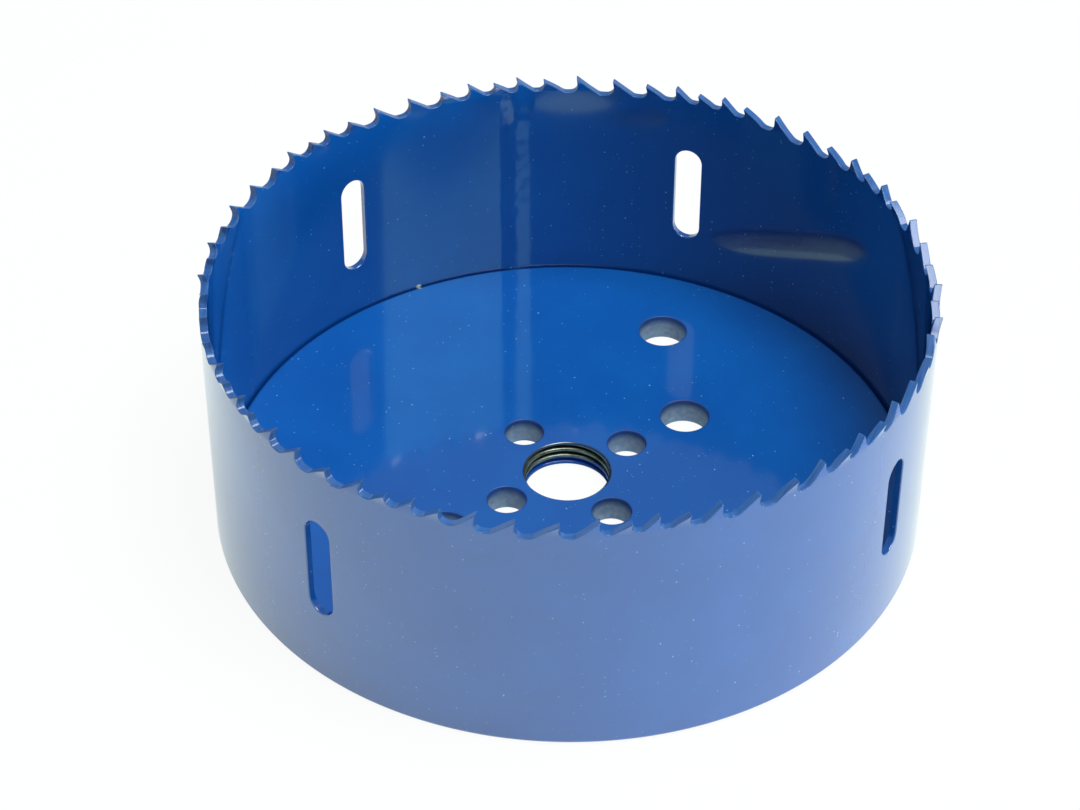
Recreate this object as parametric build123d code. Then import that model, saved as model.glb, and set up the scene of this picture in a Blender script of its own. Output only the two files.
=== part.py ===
from build123d import *
from math import cos, degrees, pi, radians, sin, tan
import os

# Hole saw for holes of about 121 mm (4-3/4 in), in millimetres and degrees.
# It rests on its back: z = 0 is the back face and the teeth point up, +Z.
# Z is the spin axis. +X passes through a drive-pin hole and a knock-out hole.
# Angles run anticlockwise from +X, seen from the toothed side.

# ---- Wall: a toothed strip, rolled into a ring and butt-welded end to end ----
WALL_OUTER_RADIUS = 60.0
WALL_THICKNESS = 1.3
OVERALL_HEIGHT = 45.6             # back face to tooth tips
FOOT_CHAMFER = 0.8                # outer edge of the wall at the back
SEAM_ANGLE = 63.4                 # where the strip's two ends meet

# ---- Teeth: variable pitch, one raker and six set teeth in a group ----
TOOTH_SET = 0.45                  # how far a tip is bent off the wall's line
RAKER, OUT, IN = 0, 1, -1
TOOTH_GROUP = (                   # set of each tooth, pitch to the next one
    (RAKER, 6.6),
    (OUT, 6.0),
    (IN, 4.8),
    (OUT, 4.3),
    (IN, 4.55),
    (OUT, 5.35),
    (IN, 6.15),
)
FIRST_RAKER_ANGLE = 10.25
RAKE_ANGLE = 8.0                  # cutting face leans over its gullet
RELIEF_ANGLE = 35.0               # slope down behind the tip
TIP_LAND = 0.2                    # flat along the rim at each tip
DEPTH_PER_PITCH = 0.42            # gullet depth as a share of its pitch
GULLET_RADIUS_PER_PITCH = 0.22

# ---- Slots: slug-removal slots, evenly pitched along the strip ----
SLOT_COUNT = 4
SLOT_PITCH_ANGLE = 99.3
SLOT_WIDTH = 5.1
SLOT_LENGTH = 19.0
SLOT_MIDDLE_HEIGHT = 23.9

# ---- Back plate: a disc welded inside the foot of the wall ----
PLATE_THICKNESS = 4.75            # 3/16 in plate
PLATE_FIT = 0.05                  # gap between disc and wall before welding
PLATE_RIM_CHAMFER = 0.6           # inside edge, leaves a crease at the wall
WELD_BEVEL = 1.5                  # back edge, takes the weld bead
WELD_RECESS = 0.2                 # bead lies this far inside the back face

# ---- Holes in the back plate ----
ARBOR_BORE_RADIUS = 7.2           # minor radius of the 5/8-18 UNF thread
ARBOR_CHAMFER = 0.35
DRIVE_PIN_COUNT = 4
DRIVE_PIN_CIRCLE_RADIUS = 12.7    # 1 in pin circle
DRIVE_PIN_HOLE_RADIUS = 3.3
KNOCKOUT_HOLE_RADIUS = 4.2
INNER_KNOCKOUT_CIRCLE_RADIUS = 25.4
INNER_KNOCKOUT_ANGLE = 0.0
OUTER_KNOCKOUT_CIRCLE_RADIUS = 42.75
OUTER_KNOCKOUT_ANGLE = 30.0
HOLE_EDGE_BREAK = 0.25            # on the drive-pin and knock-out holes

# ---- Sizes that follow from the values above ----
WALL_INNER_RADIUS = WALL_OUTER_RADIUS - WALL_THICKNESS
WALL_MIDDLE_RADIUS = WALL_OUTER_RADIUS - WALL_THICKNESS / 2
CUT_REACH = 2 * WALL_THICKNESS    # how far a radial cut runs each way
PLATE_RADIUS = WALL_INNER_RADIUS - PLATE_FIT
GROUP_LENGTH = sum(pitch for _, pitch in TOOTH_GROUP)
GROUP_COUNT = round(2 * pi * WALL_OUTER_RADIUS / GROUP_LENGTH)
DEGREES_PER_MM = 360 / (GROUP_COUNT * GROUP_LENGTH)
SHALLOWEST_GULLET = DEPTH_PER_PITCH * min(pitch for _, pitch in TOOTH_GROUP)
BEND_HEIGHT = OVERALL_HEIGHT - SHALLOWEST_GULLET  # teeth lean above this


def ring(section_points):
    """Turn a closed outline of (radius, height) points about Z."""
    outline = make_face(Polyline(*section_points, close=True))
    return revolve(Plane.XZ * outline, Axis.Z)


def radial_plane(angle, height):
    """Plane that faces out of the wall at an angle, with its y along Z."""
    a = radians(angle)
    middle = (WALL_MIDDLE_RADIUS * cos(a), WALL_MIDDLE_RADIUS * sin(a), height)
    return Plane(origin=middle, x_dir=(-sin(a), cos(a), 0), z_dir=(cos(a), sin(a), 0))


def around(radius, angles):
    """Places on a circle about the axis."""
    return [Pos(radius * cos(radians(a)), radius * sin(radians(a))) for a in angles]


# ---- Toothed wall ----

def teeth():
    """Yield each tooth as its set, the angle of its tip and the next pitch."""
    angle = FIRST_RAKER_ANGLE
    for _ in range(GROUP_COUNT):
        for tooth_set, pitch in TOOTH_GROUP:
            yield tooth_set, angle, pitch
            angle += pitch * DEGREES_PER_MM


def tooth_blank(tooth_set, tip_angle):
    """Piece of wall above the bend, leaning by the set, long enough for a tooth."""
    lean = tooth_set * TOOTH_SET
    section = Polyline(
        (WALL_INNER_RADIUS, BEND_HEIGHT),
        (WALL_OUTER_RADIUS, BEND_HEIGHT),
        (WALL_OUTER_RADIUS + lean, OVERALL_HEIGHT),
        (WALL_INNER_RADIUS + lean, OVERALL_HEIGHT),
        close=True,
    )
    relief_run = SHALLOWEST_GULLET / tan(radians(RELIEF_ANGLE))
    behind = degrees((relief_run + 2 * TIP_LAND) / WALL_OUTER_RADIUS)
    ahead = degrees(TIP_LAND / WALL_OUTER_RADIUS)
    blank = revolve(Plane.XZ * make_face(section), Axis.Z, revolution_arc=behind + ahead)
    return Rot(0, 0, tip_angle - behind) * blank


def gullet(tip_angle, pitch):
    """Cut between a tip and the next one: rake face, round floor, relief slope."""
    depth = DEPTH_PER_PITCH * pitch
    relief_top = pitch - TIP_LAND
    profile = Polyline(
        (0, 0),
        (-depth * tan(radians(RAKE_ANGLE)), -depth),
        (relief_top - depth / tan(radians(RELIEF_ANGLE)), -depth),
        (relief_top, 0),
        (relief_top, depth),
        (0, depth),
        close=True,
    )
    face = make_face(profile)
    face = fillet(face.vertices().group_by(Axis.Y)[0], GULLET_RADIUS_PER_PITCH * pitch)
    middle_angle = tip_angle + pitch * DEGREES_PER_MM / 2
    plane = radial_plane(middle_angle, OVERALL_HEIGHT)
    return extrude(plane * (Pos(-pitch / 2, 0) * face), CUT_REACH, both=True)


def slug_slot(angle):
    """Round-ended upright slot through the wall."""
    plane = radial_plane(angle, SLOT_MIDDLE_HEIGHT)
    outline = SlotOverall(SLOT_LENGTH, SLOT_WIDTH, rotation=90)
    return extrude(plane * outline, CUT_REACH, both=True)


def toothed_wall():
    """Rolled ring with its bent teeth, gullets and slots."""
    wall = ring([
        (WALL_INNER_RADIUS, 0),
        (WALL_OUTER_RADIUS - FOOT_CHAMFER, 0),
        (WALL_OUTER_RADIUS, FOOT_CHAMFER),
        (WALL_OUTER_RADIUS, BEND_HEIGHT),
        (WALL_INNER_RADIUS, BEND_HEIGHT),
    ])
    wall += [tooth_blank(tooth_set, angle) for tooth_set, angle, _ in teeth()]
    wall -= [gullet(angle, pitch) for _, angle, pitch in teeth()]
    middle = (SLOT_COUNT - 1) / 2
    opposite_seam = SEAM_ANGLE + 180
    slot_angles = [opposite_seam + (i - middle) * SLOT_PITCH_ANGLE for i in range(SLOT_COUNT)]
    return wall - [slug_slot(angle) for angle in slot_angles]


# ---- Back plate and its weld ----

def broken_edge_hole(radius, edge_break):
    """Cutter for a hole through the plate with both of its edges chamfered."""
    wide = radius + edge_break
    return ring([
        (0, 0),
        (wide, 0),
        (radius, edge_break),
        (radius, PLATE_THICKNESS - edge_break),
        (wide, PLATE_THICKNESS),
        (0, PLATE_THICKNESS),
    ])


def back_plate():
    """Disc with the arbor bore, drive-pin holes and knock-out holes."""
    plate = ring([
        (0, 0),
        (PLATE_RADIUS - WELD_BEVEL, 0),
        (PLATE_RADIUS, WELD_BEVEL),
        (PLATE_RADIUS, PLATE_THICKNESS - PLATE_RIM_CHAMFER),
        (PLATE_RADIUS - PLATE_RIM_CHAMFER, PLATE_THICKNESS),
        (0, PLATE_THICKNESS),
    ])
    pin_angles = [i * 360 / DRIVE_PIN_COUNT for i in range(DRIVE_PIN_COUNT)]
    pins = around(DRIVE_PIN_CIRCLE_RADIUS, pin_angles)
    knockouts = around(INNER_KNOCKOUT_CIRCLE_RADIUS, [INNER_KNOCKOUT_ANGLE, INNER_KNOCKOUT_ANGLE + 180])
    knockouts += around(OUTER_KNOCKOUT_CIRCLE_RADIUS, [OUTER_KNOCKOUT_ANGLE, OUTER_KNOCKOUT_ANGLE + 180])
    plate -= broken_edge_hole(ARBOR_BORE_RADIUS, ARBOR_CHAMFER)
    plate -= [place * broken_edge_hole(DRIVE_PIN_HOLE_RADIUS, HOLE_EDGE_BREAK) for place in pins]
    plate -= [place * broken_edge_hole(KNOCKOUT_HOLE_RADIUS, HOLE_EDGE_BREAK) for place in knockouts]
    return plate


def plate_weld():
    """Bead that fills the plate's bevel and ties it to the wall."""
    return ring([
        (PLATE_RADIUS - WELD_BEVEL + WELD_RECESS, WELD_RECESS),
        (WALL_INNER_RADIUS, WELD_RECESS),
        (WALL_INNER_RADIUS, WELD_BEVEL),
        (PLATE_RADIUS, WELD_BEVEL),
    ])


os.makedirs("parts", exist_ok=True)
for node in (toothed_wall, back_plate, plate_weld):
    solid = node()
    export_step(solid, f"parts/{node.__name__}.step")
    print(node.__name__, "volume", round(solid.volume, 1), "box", solid.bounding_box().size)
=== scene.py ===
"""A hole saw for cutting large round holes: a toothed steel cup, its threaded back plate and their weld.

Every size is in millimetres in this file and becomes metres when a mesh is made. The cup stands on its
back, its teeth up, with the middle of its back face at the origin.
"""

import logging
import math
from collections.abc import Callable
from dataclasses import dataclass, field
from enum import Enum
from typing import ClassVar

import bpy
import numpy as np
from mathutils import Matrix, Vector, noise
from mathutils.geometry import delaunay_2d_cdt
from mathutils.kdtree import KDTree


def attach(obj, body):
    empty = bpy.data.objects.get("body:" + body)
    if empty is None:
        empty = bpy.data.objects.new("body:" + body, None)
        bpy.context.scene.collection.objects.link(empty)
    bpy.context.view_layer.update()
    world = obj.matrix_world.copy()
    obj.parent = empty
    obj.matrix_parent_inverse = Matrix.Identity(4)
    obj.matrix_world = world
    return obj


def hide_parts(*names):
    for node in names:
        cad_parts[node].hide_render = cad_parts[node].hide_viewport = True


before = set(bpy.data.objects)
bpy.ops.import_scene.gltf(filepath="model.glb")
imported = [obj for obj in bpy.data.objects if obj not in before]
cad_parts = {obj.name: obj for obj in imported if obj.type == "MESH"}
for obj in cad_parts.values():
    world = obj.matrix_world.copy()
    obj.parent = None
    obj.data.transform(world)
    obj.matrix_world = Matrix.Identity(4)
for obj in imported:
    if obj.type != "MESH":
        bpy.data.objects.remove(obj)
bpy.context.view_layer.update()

LOG = logging.getLogger("hole_saw")

MM = 0.001
FULL_TURN = 2.0 * math.pi
BODY = "root"
# The point layer that holds a tooth edge's wear, a painted shade ring on the thread's upper lip, or the
# depth of the thread's groove.
WEAR_AND_SHADE_LAYER = "edge_wear"
# Points nearer than this, in mm, are one point.
WELD_DISTANCE = 0.0005
WHITE = (1.0, 1.0, 1.0, 1.0)

Wire = bpy.types.Node | bpy.types.NodeSocket
Place = tuple[float, float]
Triangles = list[tuple[int, ...]]


class ToothSet(Enum):
    """Which way a tooth leans from the wall's middle: the kerf is cut by all three in turn."""

    STRAIGHT = 0
    OUTWARD = 1
    INWARD = -1


class Side(Enum):
    """The two faces of the rolled strip that the cup's wall is made from."""

    OUTER = 1
    INNER = -1


class Finish(Enum):
    """The surfaces of a piece that have a material each, numbered as its materials are."""

    FACE = 0
    OPENING = 1
    WORKED = 2


# --------------------------------------------------------------------------- colour and nodes


def linear_colour(hex_code: str) -> tuple[float, float, float, float]:
    """Turns an sRGB hex colour into the linear colour that a shader takes.

    Args:
        hex_code: The colour as #RRGGBB.

    Returns:
        Red, green, blue and an alpha of 1, all linear.
    """
    channels = []
    for start in (1, 3, 5):
        value = int(hex_code[start:start + 2], 16) / 255.0
        channels.append(value / 12.92 if value <= 0.04045 else ((value + 0.055) / 1.055) ** 2.4)
    return (*channels, 1.0)


def add_node(
    tree: bpy.types.NodeTree,
    kind: str,
    inputs: dict[str | int, float | tuple | Wire] | None = None,
    **settings: object,
) -> bpy.types.Node:
    """Adds one shader node to a tree, with its settings and its input values or links.

    Args:
        tree: The node tree that gets the node.
        kind: The node's type without the word ShaderNode, such as TexNoise.
        inputs: For each named or numbered input a value, a socket, or a node whose first output it takes.
        **settings: Properties set on the node itself.

    Returns:
        The new node.
    """
    node = tree.nodes.new("ShaderNode" + kind)
    for name, value in settings.items():
        setattr(node, name, value)
    for key, value in (inputs or {}).items():
        if isinstance(value, bpy.types.Node):
            value = next(socket for socket in value.outputs if socket.enabled)
        if isinstance(value, bpy.types.NodeSocket):
            tree.links.new(value, node.inputs[key])
        else:
            node.inputs[key].default_value = value
    return node


def new_material(name: str) -> bpy.types.Material:
    """Makes a material with an empty node tree.

    Args:
        name: The material's name.

    Returns:
        The material, ready for nodes.
    """
    material = bpy.data.materials.new(name)
    material.use_nodes = True
    material.node_tree.nodes.clear()
    return material


def per_metre(millimetres: float) -> float:
    """Returns the texture scale that gives a pattern this many millimetres between repeats."""
    return 1.0 / (millimetres * MM)


def off_axis(tree: bpy.types.NodeTree, place: Wire) -> Wire:
    """Returns how far each place lies from the cup's axis, in metres."""
    flat = add_node(tree, "VectorMath", {0: place, 1: (1.0, 1.0, 0.0)}, operation="MULTIPLY")
    return add_node(tree, "VectorMath", {0: flat}, operation="LENGTH")


def reach_toward(tree: bpy.types.NodeTree, place: Wire, azimuth: float) -> Wire:
    """Returns how far each place lies towards a direction in degrees from +X, in metres."""
    toward = (math.cos(math.radians(azimuth)), math.sin(math.radians(azimuth)), 0.0)
    return add_node(tree, "VectorMath", {0: place, 1: toward}, operation="DOT_PRODUCT")


@dataclass(frozen=True)
class Patches:
    """A soft, random, patchy pattern.

    Attributes:
        spacing: The mean distance between patches, in mm.
        detail: How many finer patterns lie over the first.
        roughness: How strong each finer one is.
        band: The part of the pattern's range over which the patches fade.
    """

    spacing: float
    detail: float
    roughness: float = 0.5
    band: tuple[float, float] = (0.0, 1.0)

    def mask(self, tree: bpy.types.NodeTree, place: Wire, low: float = 0.0, high: float = 1.0) -> Wire:
        """Lays the pattern out.

        Args:
            tree: The material's nodes.
            place: The coordinates that it follows.
            low: Its value between patches.
            high: Its value on a patch.

        Returns:
            The pattern, fading from low to high.
        """
        start, end = self.band
        raw = add_node(tree, "TexNoise", {
            "Vector": place, "Scale": per_metre(self.spacing), "Detail": self.detail,
            "Roughness": self.roughness,
        })
        return add_node(tree, "MapRange", {
            "Value": raw, "From Min": start, "From Max": end, "To Min": low, "To Max": high,
        })


@dataclass(frozen=True)
class Relief:
    """One layer of a surface's relief.

    Attributes:
        height: How far it stands up, in mm.
        spacing: The distance between its bumps, in mm.
        detail: How many finer bumps lie over them.
        roughness: How strong each finer one is.
        stretch: How much finer it runs along each axis.
    """

    height: float
    spacing: float
    detail: float
    roughness: float = 0.5
    stretch: tuple[float, float, float] | None = None


# --------------------------------------------------------------------------- finishes


@dataclass(frozen=True)
class BakedEnamel:
    """Blue enamel, sprayed over steel and baked.

    It gives the eye a deep, glossy blue with the faint orange peel of a sprayed coat, a little lint
    that settled while it was wet, and steel showing where the coat drew back from a sharp edge.

    Attributes:
        name: The material's name.
        colour: The coat's usual colour.
        deep_colour: Its colour where it lies thickest.
        edge_wear_and_shade_colour: The oxidised steel at a worn edge, and on the open faces the painted
            shade round the thread's lip.
        speck_colour: The lint and dust in and on the coat.
        crease_shade_colour: The painted shade in the joint between plate and wall.
        roughness: The gloss of a clean stretch.
        ior: The pigmented coat's index of refraction.
        coat_weight: How far the enamel flowed out into a clear, glossy skin.
        coat_roughness: That skin's own roughness.
        coat_ior: That skin's index of refraction, matched to its shine.
        coverage_gap: How much bare grey shows through, from 0 for a full coat to 1 for none.
        bare_colour: That grey.
        streaked: Whether the grey follows grinding lines along the strip.
        streak_shares: How fine the grey is along such lines and across them, against its usual size.
        gap_contrast: How patchy that grey is, from 0 for an even haze to 1.
        full_coat_height: The height from which the coat is full in spite of the gap, in mm.
        coat_fade: The height over which the coat thins out below that, in mm.
        peel_spacing: The distance between the bumps of the orange peel, in mm.
        peel_height: How far those bumps stand up, in mm.
        wave_spacing: The distance between the coat's long waves, in mm.
        wave_height: How far those waves stand up, in mm.
        grain_height: How far the rough surface below shows through, in mm.
        ring_height: How far a drill's rings stand up, in mm.
        speck_spacing: The mean distance between specks, in mm.
        speck_share: The share of places that hold a speck.
        speck_radius: The largest speck's radius, in mm.
        speck_softness: How far a speck's edge fades, in mm.
        speck_wobble: How far a speck's outline strays from round, in mm.
        speck_height: How far a speck stands up, in mm.
        speck_power: How much rarer bright specks are than faint ones.
        wear_spacing: The distance between the tongues of a worn edge, in mm.
        wear_raggedness: How much of the wear those tongues take away.
        wear_fade: The share of the wear over which the coat ends.
        most_wear: How far the steel shows where the coat has gone.
        crease_shade: The radius and height of the joint where shade is painted in, in mm, or None.
        shade_side_direction: The side of the cup's inside that is painted darker as shade, in degrees, or
            None.
        shade_side_colour: The painted shade's colour where that side is darkest.
        shade_side_band: Where that painted shade begins and where it is darkest, in mm towards that side.
        chip_place: The place of a bare chip in the coat, in mm, or None.
        chip_colour: The chip's colour.
        chip_radii: The radius that is bare and the radius where the coat is whole again, in mm.
        pooling: Where the coat pooled and thinned, over a centimetre or two.
        haze: Where handling dulled the gloss, over a few millimetres.
        mottle: Where a thin coat lets the grey through.
        drifts: Where the lint gathered.
    """

    # Halfway through the strip, and just over the plate: both tell the cup's inner wall from the rest.
    WALL_MIDDLE: ClassVar[float] = 59.35
    PLATE_TOP: ClassVar[float] = 4.8
    # How much duller the haze leaves the coat, and how much duller specks and worn edges are.
    HAZE_SHARES: ClassVar[tuple[float, float]] = (0.75, 1.45)
    SPECK_DULLNESS: ClassVar[float] = 0.35
    WEAR_DULLNESS: ClassVar[float] = 0.22
    # How far a crease's middle lies below the face, and where its shade is full and gone, in mm.
    CREASE_DEPTH: ClassVar[float] = 0.35
    CREASE_ACROSS: ClassVar[tuple[float, float]] = (0.5, 0.8)
    CREASE_DOWN: ClassVar[tuple[float, float]] = (0.40, 0.72)

    name: str
    colour: str = "#0759AB"
    deep_colour: str = "#0652A3"
    edge_wear_and_shade_colour: str = "#4A4844"
    speck_colour: str = "#8CCFE8"
    crease_shade_colour: str = "#0A3F86"
    roughness: float = 0.13
    ior: float = 1.52
    coat_weight: float = 1.0
    coat_roughness: float = 0.075
    coat_ior: float = 1.8
    coverage_gap: float = 0.0
    bare_colour: str = "#7C95A6"
    streaked: bool = False
    streak_shares: tuple[float, float] = (0.3, 3.0)
    gap_contrast: float = 0.65
    full_coat_height: float = 1000.0
    coat_fade: float = 0.5
    peel_spacing: float = 1.1
    peel_height: float = 0.0016
    wave_spacing: float = 3.4
    wave_height: float = 0.014
    grain_height: float = 0.0
    ring_height: float = 0.0
    speck_spacing: float = 0.95
    speck_share: float = 0.9
    speck_radius: float = 0.18
    speck_softness: float = 0.09
    speck_wobble: float = 0.22
    speck_height: float = 0.03
    speck_power: float = 1.3
    wear_spacing: float = 0.55
    wear_raggedness: float = 0.9
    wear_fade: float = 0.35
    most_wear: float = 0.9
    crease_shade: tuple[float, float] | None = None
    shade_side_direction: float | None = None
    shade_side_colour: str = "#063068"
    shade_side_band: tuple[float, float] = (-4.0, 50.0)
    chip_place: tuple[float, float, float] | None = None
    chip_colour: str = "#C9CBB8"
    chip_radii: tuple[float, float] = (0.3, 0.6)
    pooling: Patches = Patches(17.0, 3.0, 0.55, (0.36, 0.66))
    haze: Patches = Patches(6.0, 4.0, 0.6, (0.3, 0.72))
    mottle: Patches = Patches(0.9, 3.0, 0.6, (0.34, 0.66))
    drifts: Patches = Patches(11.0, 2.0, 0.5, (0.38, 0.62))

    def material(self) -> bpy.types.Material:
        """Builds the enamel.

        Returns:
            The finished material.
        """
        material = new_material(self.name)
        tree = material.node_tree
        place = add_node(tree, "TexCoord").outputs["Object"]
        # The edge mask is worn steel on the teeth and a painted shade ring on the thread's upper lip.
        wear, speck = self._edge_wear_and_shade(tree, place), self._specks(tree, place)
        crease_shade = self._painted_crease_shade(tree, place)

        # Each mask lays its colour over what lies below it; the side and crease layers are painted shade.
        colour: Wire | tuple = linear_colour(self.colour)
        for share, shade in (
            (self.pooling.mask(tree, place), self.deep_colour),
            (self._painted_shade_side(tree, place), self.shade_side_colour),
            (self._thin_coat(tree, place), self.bare_colour),
            (wear, self.edge_wear_and_shade_colour),
            (speck, self.speck_colour),
            (crease_shade, self.crease_shade_colour),
            (self._chip(tree, place), self.chip_colour),
        ):
            if share is not None:
                colour = add_node(
                    tree, "Mix", {"Factor": share, "A": colour, "B": linear_colour(shade)}, data_type="RGBA",
                )

        # The painted crease shade also takes the clear skin away, so no reflection lightens it.
        clear_skin: Wire | float = self.coat_weight
        if crease_shade is not None:
            clear_skin = add_node(
                tree, "MapRange", {"Value": crease_shade, "To Min": self.coat_weight, "To Max": 0.0},
            )
        gloss = self.haze.mask(tree, place, *(self.roughness * share for share in self.HAZE_SHARES))
        for mask, dullness in ((speck, self.SPECK_DULLNESS), (wear, self.WEAR_DULLNESS)):
            gloss = add_node(
                tree, "Math", {0: mask, 1: dullness, 2: gloss}, operation="MULTIPLY_ADD", use_clamp=True,
            )

        shader = add_node(tree, "BsdfPrincipled", {
            "Base Color": colour,
            "Roughness": gloss,
            "IOR": self.ior,
            "Coat Weight": clear_skin,
            "Coat Roughness": self.coat_roughness,
            "Coat IOR": self.coat_ior,
            "Normal": self._relief(tree, place, speck),
        })
        add_node(tree, "OutputMaterial", {"Surface": shader})
        return material

    def _painted_shade_side(self, tree: bpy.types.NodeTree, place: Wire) -> Wire | None:
        """Marks the side of the cup's inside where shade is painted in, darker towards that side.

        Args:
            tree: The material's nodes.
            place: The object coordinates.

        Returns:
            A mask that rises to 1 towards that side, on the wall's inner face only, or None.
        """
        if self.shade_side_direction is None:
            return None
        start, end = self.shade_side_band
        reach = reach_toward(tree, place, self.shade_side_direction)
        ran = add_node(tree, "MapRange", {"Value": reach, "From Min": start * MM, "From Max": end * MM})
        inside = add_node(
            tree, "Math", {0: off_axis(tree, place), 1: self.WALL_MIDDLE * MM}, operation="LESS_THAN",
        )
        level = add_node(tree, "SeparateXYZ", {"Vector": place}).outputs["Z"]
        above = add_node(tree, "Math", {0: level, 1: self.PLATE_TOP * MM}, operation="GREATER_THAN")
        wall = add_node(tree, "Math", {0: inside, 1: above}, operation="MULTIPLY")
        return add_node(tree, "Math", {0: ran, 1: wall}, operation="MULTIPLY")

    def _thin_coat(self, tree: bpy.types.NodeTree, place: Wire) -> Wire | None:
        """Marks where grey steel shows through a coat that only overspray reached.

        Args:
            tree: The material's nodes.
            place: The object coordinates.

        Returns:
            The grey's share, or None for a full coat.
        """
        if self.coverage_gap <= 0.0:
            return None
        pattern = place
        if self.streaked:
            # Grinding lines run along each tooth, so the pattern is fine across the strip's thickness.
            coarse, fine = self.streak_shares
            across = add_node(tree, "Math", {0: off_axis(tree, place), 1: fine}, operation="MULTIPLY")
            shift = add_node(tree, "CombineXYZ", {"X": across})
            pattern = add_node(
                tree, "VectorMath", {0: place, 1: (coarse,) * 3, 2: shift}, operation="MULTIPLY_ADD",
            )
        share = self.mottle.mask(
            tree, pattern, self.coverage_gap * (1.0 - self.gap_contrast),
            min(1.0, self.coverage_gap * (1.0 + self.gap_contrast)),
        )
        height = add_node(tree, "SeparateXYZ", {"Vector": place}).outputs["Z"]
        below = add_node(tree, "MapRange", {
            "Value": height, "From Min": (self.full_coat_height - self.coat_fade) * MM,
            "From Max": self.full_coat_height * MM, "To Min": 1.0, "To Max": 0.0,
        })
        return add_node(tree, "Math", {0: share, 1: below}, operation="MULTIPLY")

    def _edge_wear_and_shade(self, tree: bpy.types.NodeTree, place: Wire) -> Wire:
        """Breaks the mesh's edge layer up, so that the coat ends raggedly along a tooth; on the thread's
        upper lip the same layer paints a dark ring of shade.

        Args:
            tree: The material's nodes.
            place: The object coordinates.

        Returns:
            How far the worn steel or the painted lip shade shows, from 0 to 1.
        """
        layer = add_node(tree, "Attribute", attribute_name=WEAR_AND_SHADE_LAYER).outputs["Fac"]
        ragged = add_node(tree, "TexNoise", {
            "Vector": place, "Scale": per_metre(self.wear_spacing), "Detail": 4.0, "Roughness": 0.65,
        })
        uneven = add_node(
            tree, "Math", {0: ragged, 1: -self.wear_raggedness, 2: layer}, operation="MULTIPLY_ADD",
        )
        return add_node(
            tree, "MapRange", {"Value": uneven, "From Max": self.wear_fade, "To Max": self.most_wear},
        )

    def _painted_crease_shade(self, tree: bpy.types.NodeTree, place: Wire) -> Wire | None:
        """Marks the joint just under the plate's face, where shade is painted in.

        Args:
            tree: The material's nodes.
            place: The object coordinates.

        Returns:
            A mask that is 1 in the joint, or None.
        """
        if self.crease_shade is None:
            return None
        radius, face_height = self.crease_shade
        level = add_node(tree, "SeparateXYZ", {"Vector": place}).outputs["Z"]
        masks = []
        for value, middle, (full, gone) in (
            (off_axis(tree, place), radius, self.CREASE_ACROSS),
            (level, face_height - self.CREASE_DEPTH, self.CREASE_DOWN),
        ):
            gap = add_node(tree, "Math", {0: value, 1: middle * MM}, operation="SUBTRACT")
            gap = add_node(tree, "Math", {0: gap}, operation="ABSOLUTE")
            masks.append(add_node(tree, "MapRange", {
                "Value": gap, "From Min": full * MM, "From Max": gone * MM, "To Min": 1.0, "To Max": 0.0,
            }))
        return add_node(tree, "Math", {0: masks[0], 1: masks[1]}, operation="MULTIPLY")

    def _chip(self, tree: bpy.types.NodeTree, place: Wire) -> Wire | None:
        """Marks the bare chip.

        Args:
            tree: The material's nodes.
            place: The object coordinates.

        Returns:
            A mask that is 1 on the chip, or None.
        """
        if self.chip_place is None:
            return None
        bare, whole = self.chip_radii
        middle = tuple(value * MM for value in self.chip_place)
        away = add_node(tree, "VectorMath", {0: place, 1: middle}, operation="DISTANCE")
        return add_node(tree, "MapRange", {
            "Value": away, "From Min": bare * MM, "From Max": whole * MM, "To Min": 1.0, "To Max": 0.0,
        })

    def _specks(self, tree: bpy.types.NodeTree, place: Wire) -> Wire:
        """Scatters the lint: most of it faint and tiny, a few bright bits, in loose drifts.

        Args:
            tree: The material's nodes.
            place: The object coordinates.

        Returns:
            A mask that is 1 on the brightest speck.
        """
        # A fine wobble makes each speck's outline its own.
        wobble = add_node(tree, "TexNoise", {"Vector": place, "Scale": per_metre(0.3), "Detail": 1.0})
        shaken = add_node(
            tree, "VectorMath", {0: wobble.outputs["Color"], 1: (self.speck_wobble * MM,) * 3, 2: place},
            operation="MULTIPLY_ADD",
        )
        cells = add_node(tree, "TexVoronoi", {"Vector": shaken, "Scale": per_metre(self.speck_spacing)})
        # Each cell's own numbers set its speck's radius and strength.
        dice = add_node(tree, "SeparateColor", {"Color": cells.outputs["Color"]})
        radius = add_node(tree, "MapRange", {
            "Value": dice.outputs["Red"], "From Min": 1.0 - self.speck_share,
            "To Max": self.speck_radius / self.speck_spacing,
        })
        inside = add_node(tree, "Math", {0: radius, 1: cells.outputs["Distance"]}, operation="SUBTRACT")
        softness = self.speck_softness / self.speck_spacing
        mask = add_node(tree, "MapRange", {"Value": inside, "From Max": softness})
        strength = add_node(
            tree, "Math", {0: dice.outputs["Green"], 1: self.speck_power}, operation="POWER",
        )
        gathered = self.drifts.mask(tree, place, low=0.45)
        strength = add_node(tree, "Math", {0: strength, 1: gathered}, operation="MULTIPLY")
        return add_node(tree, "Math", {0: mask, 1: strength}, operation="MULTIPLY")

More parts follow.
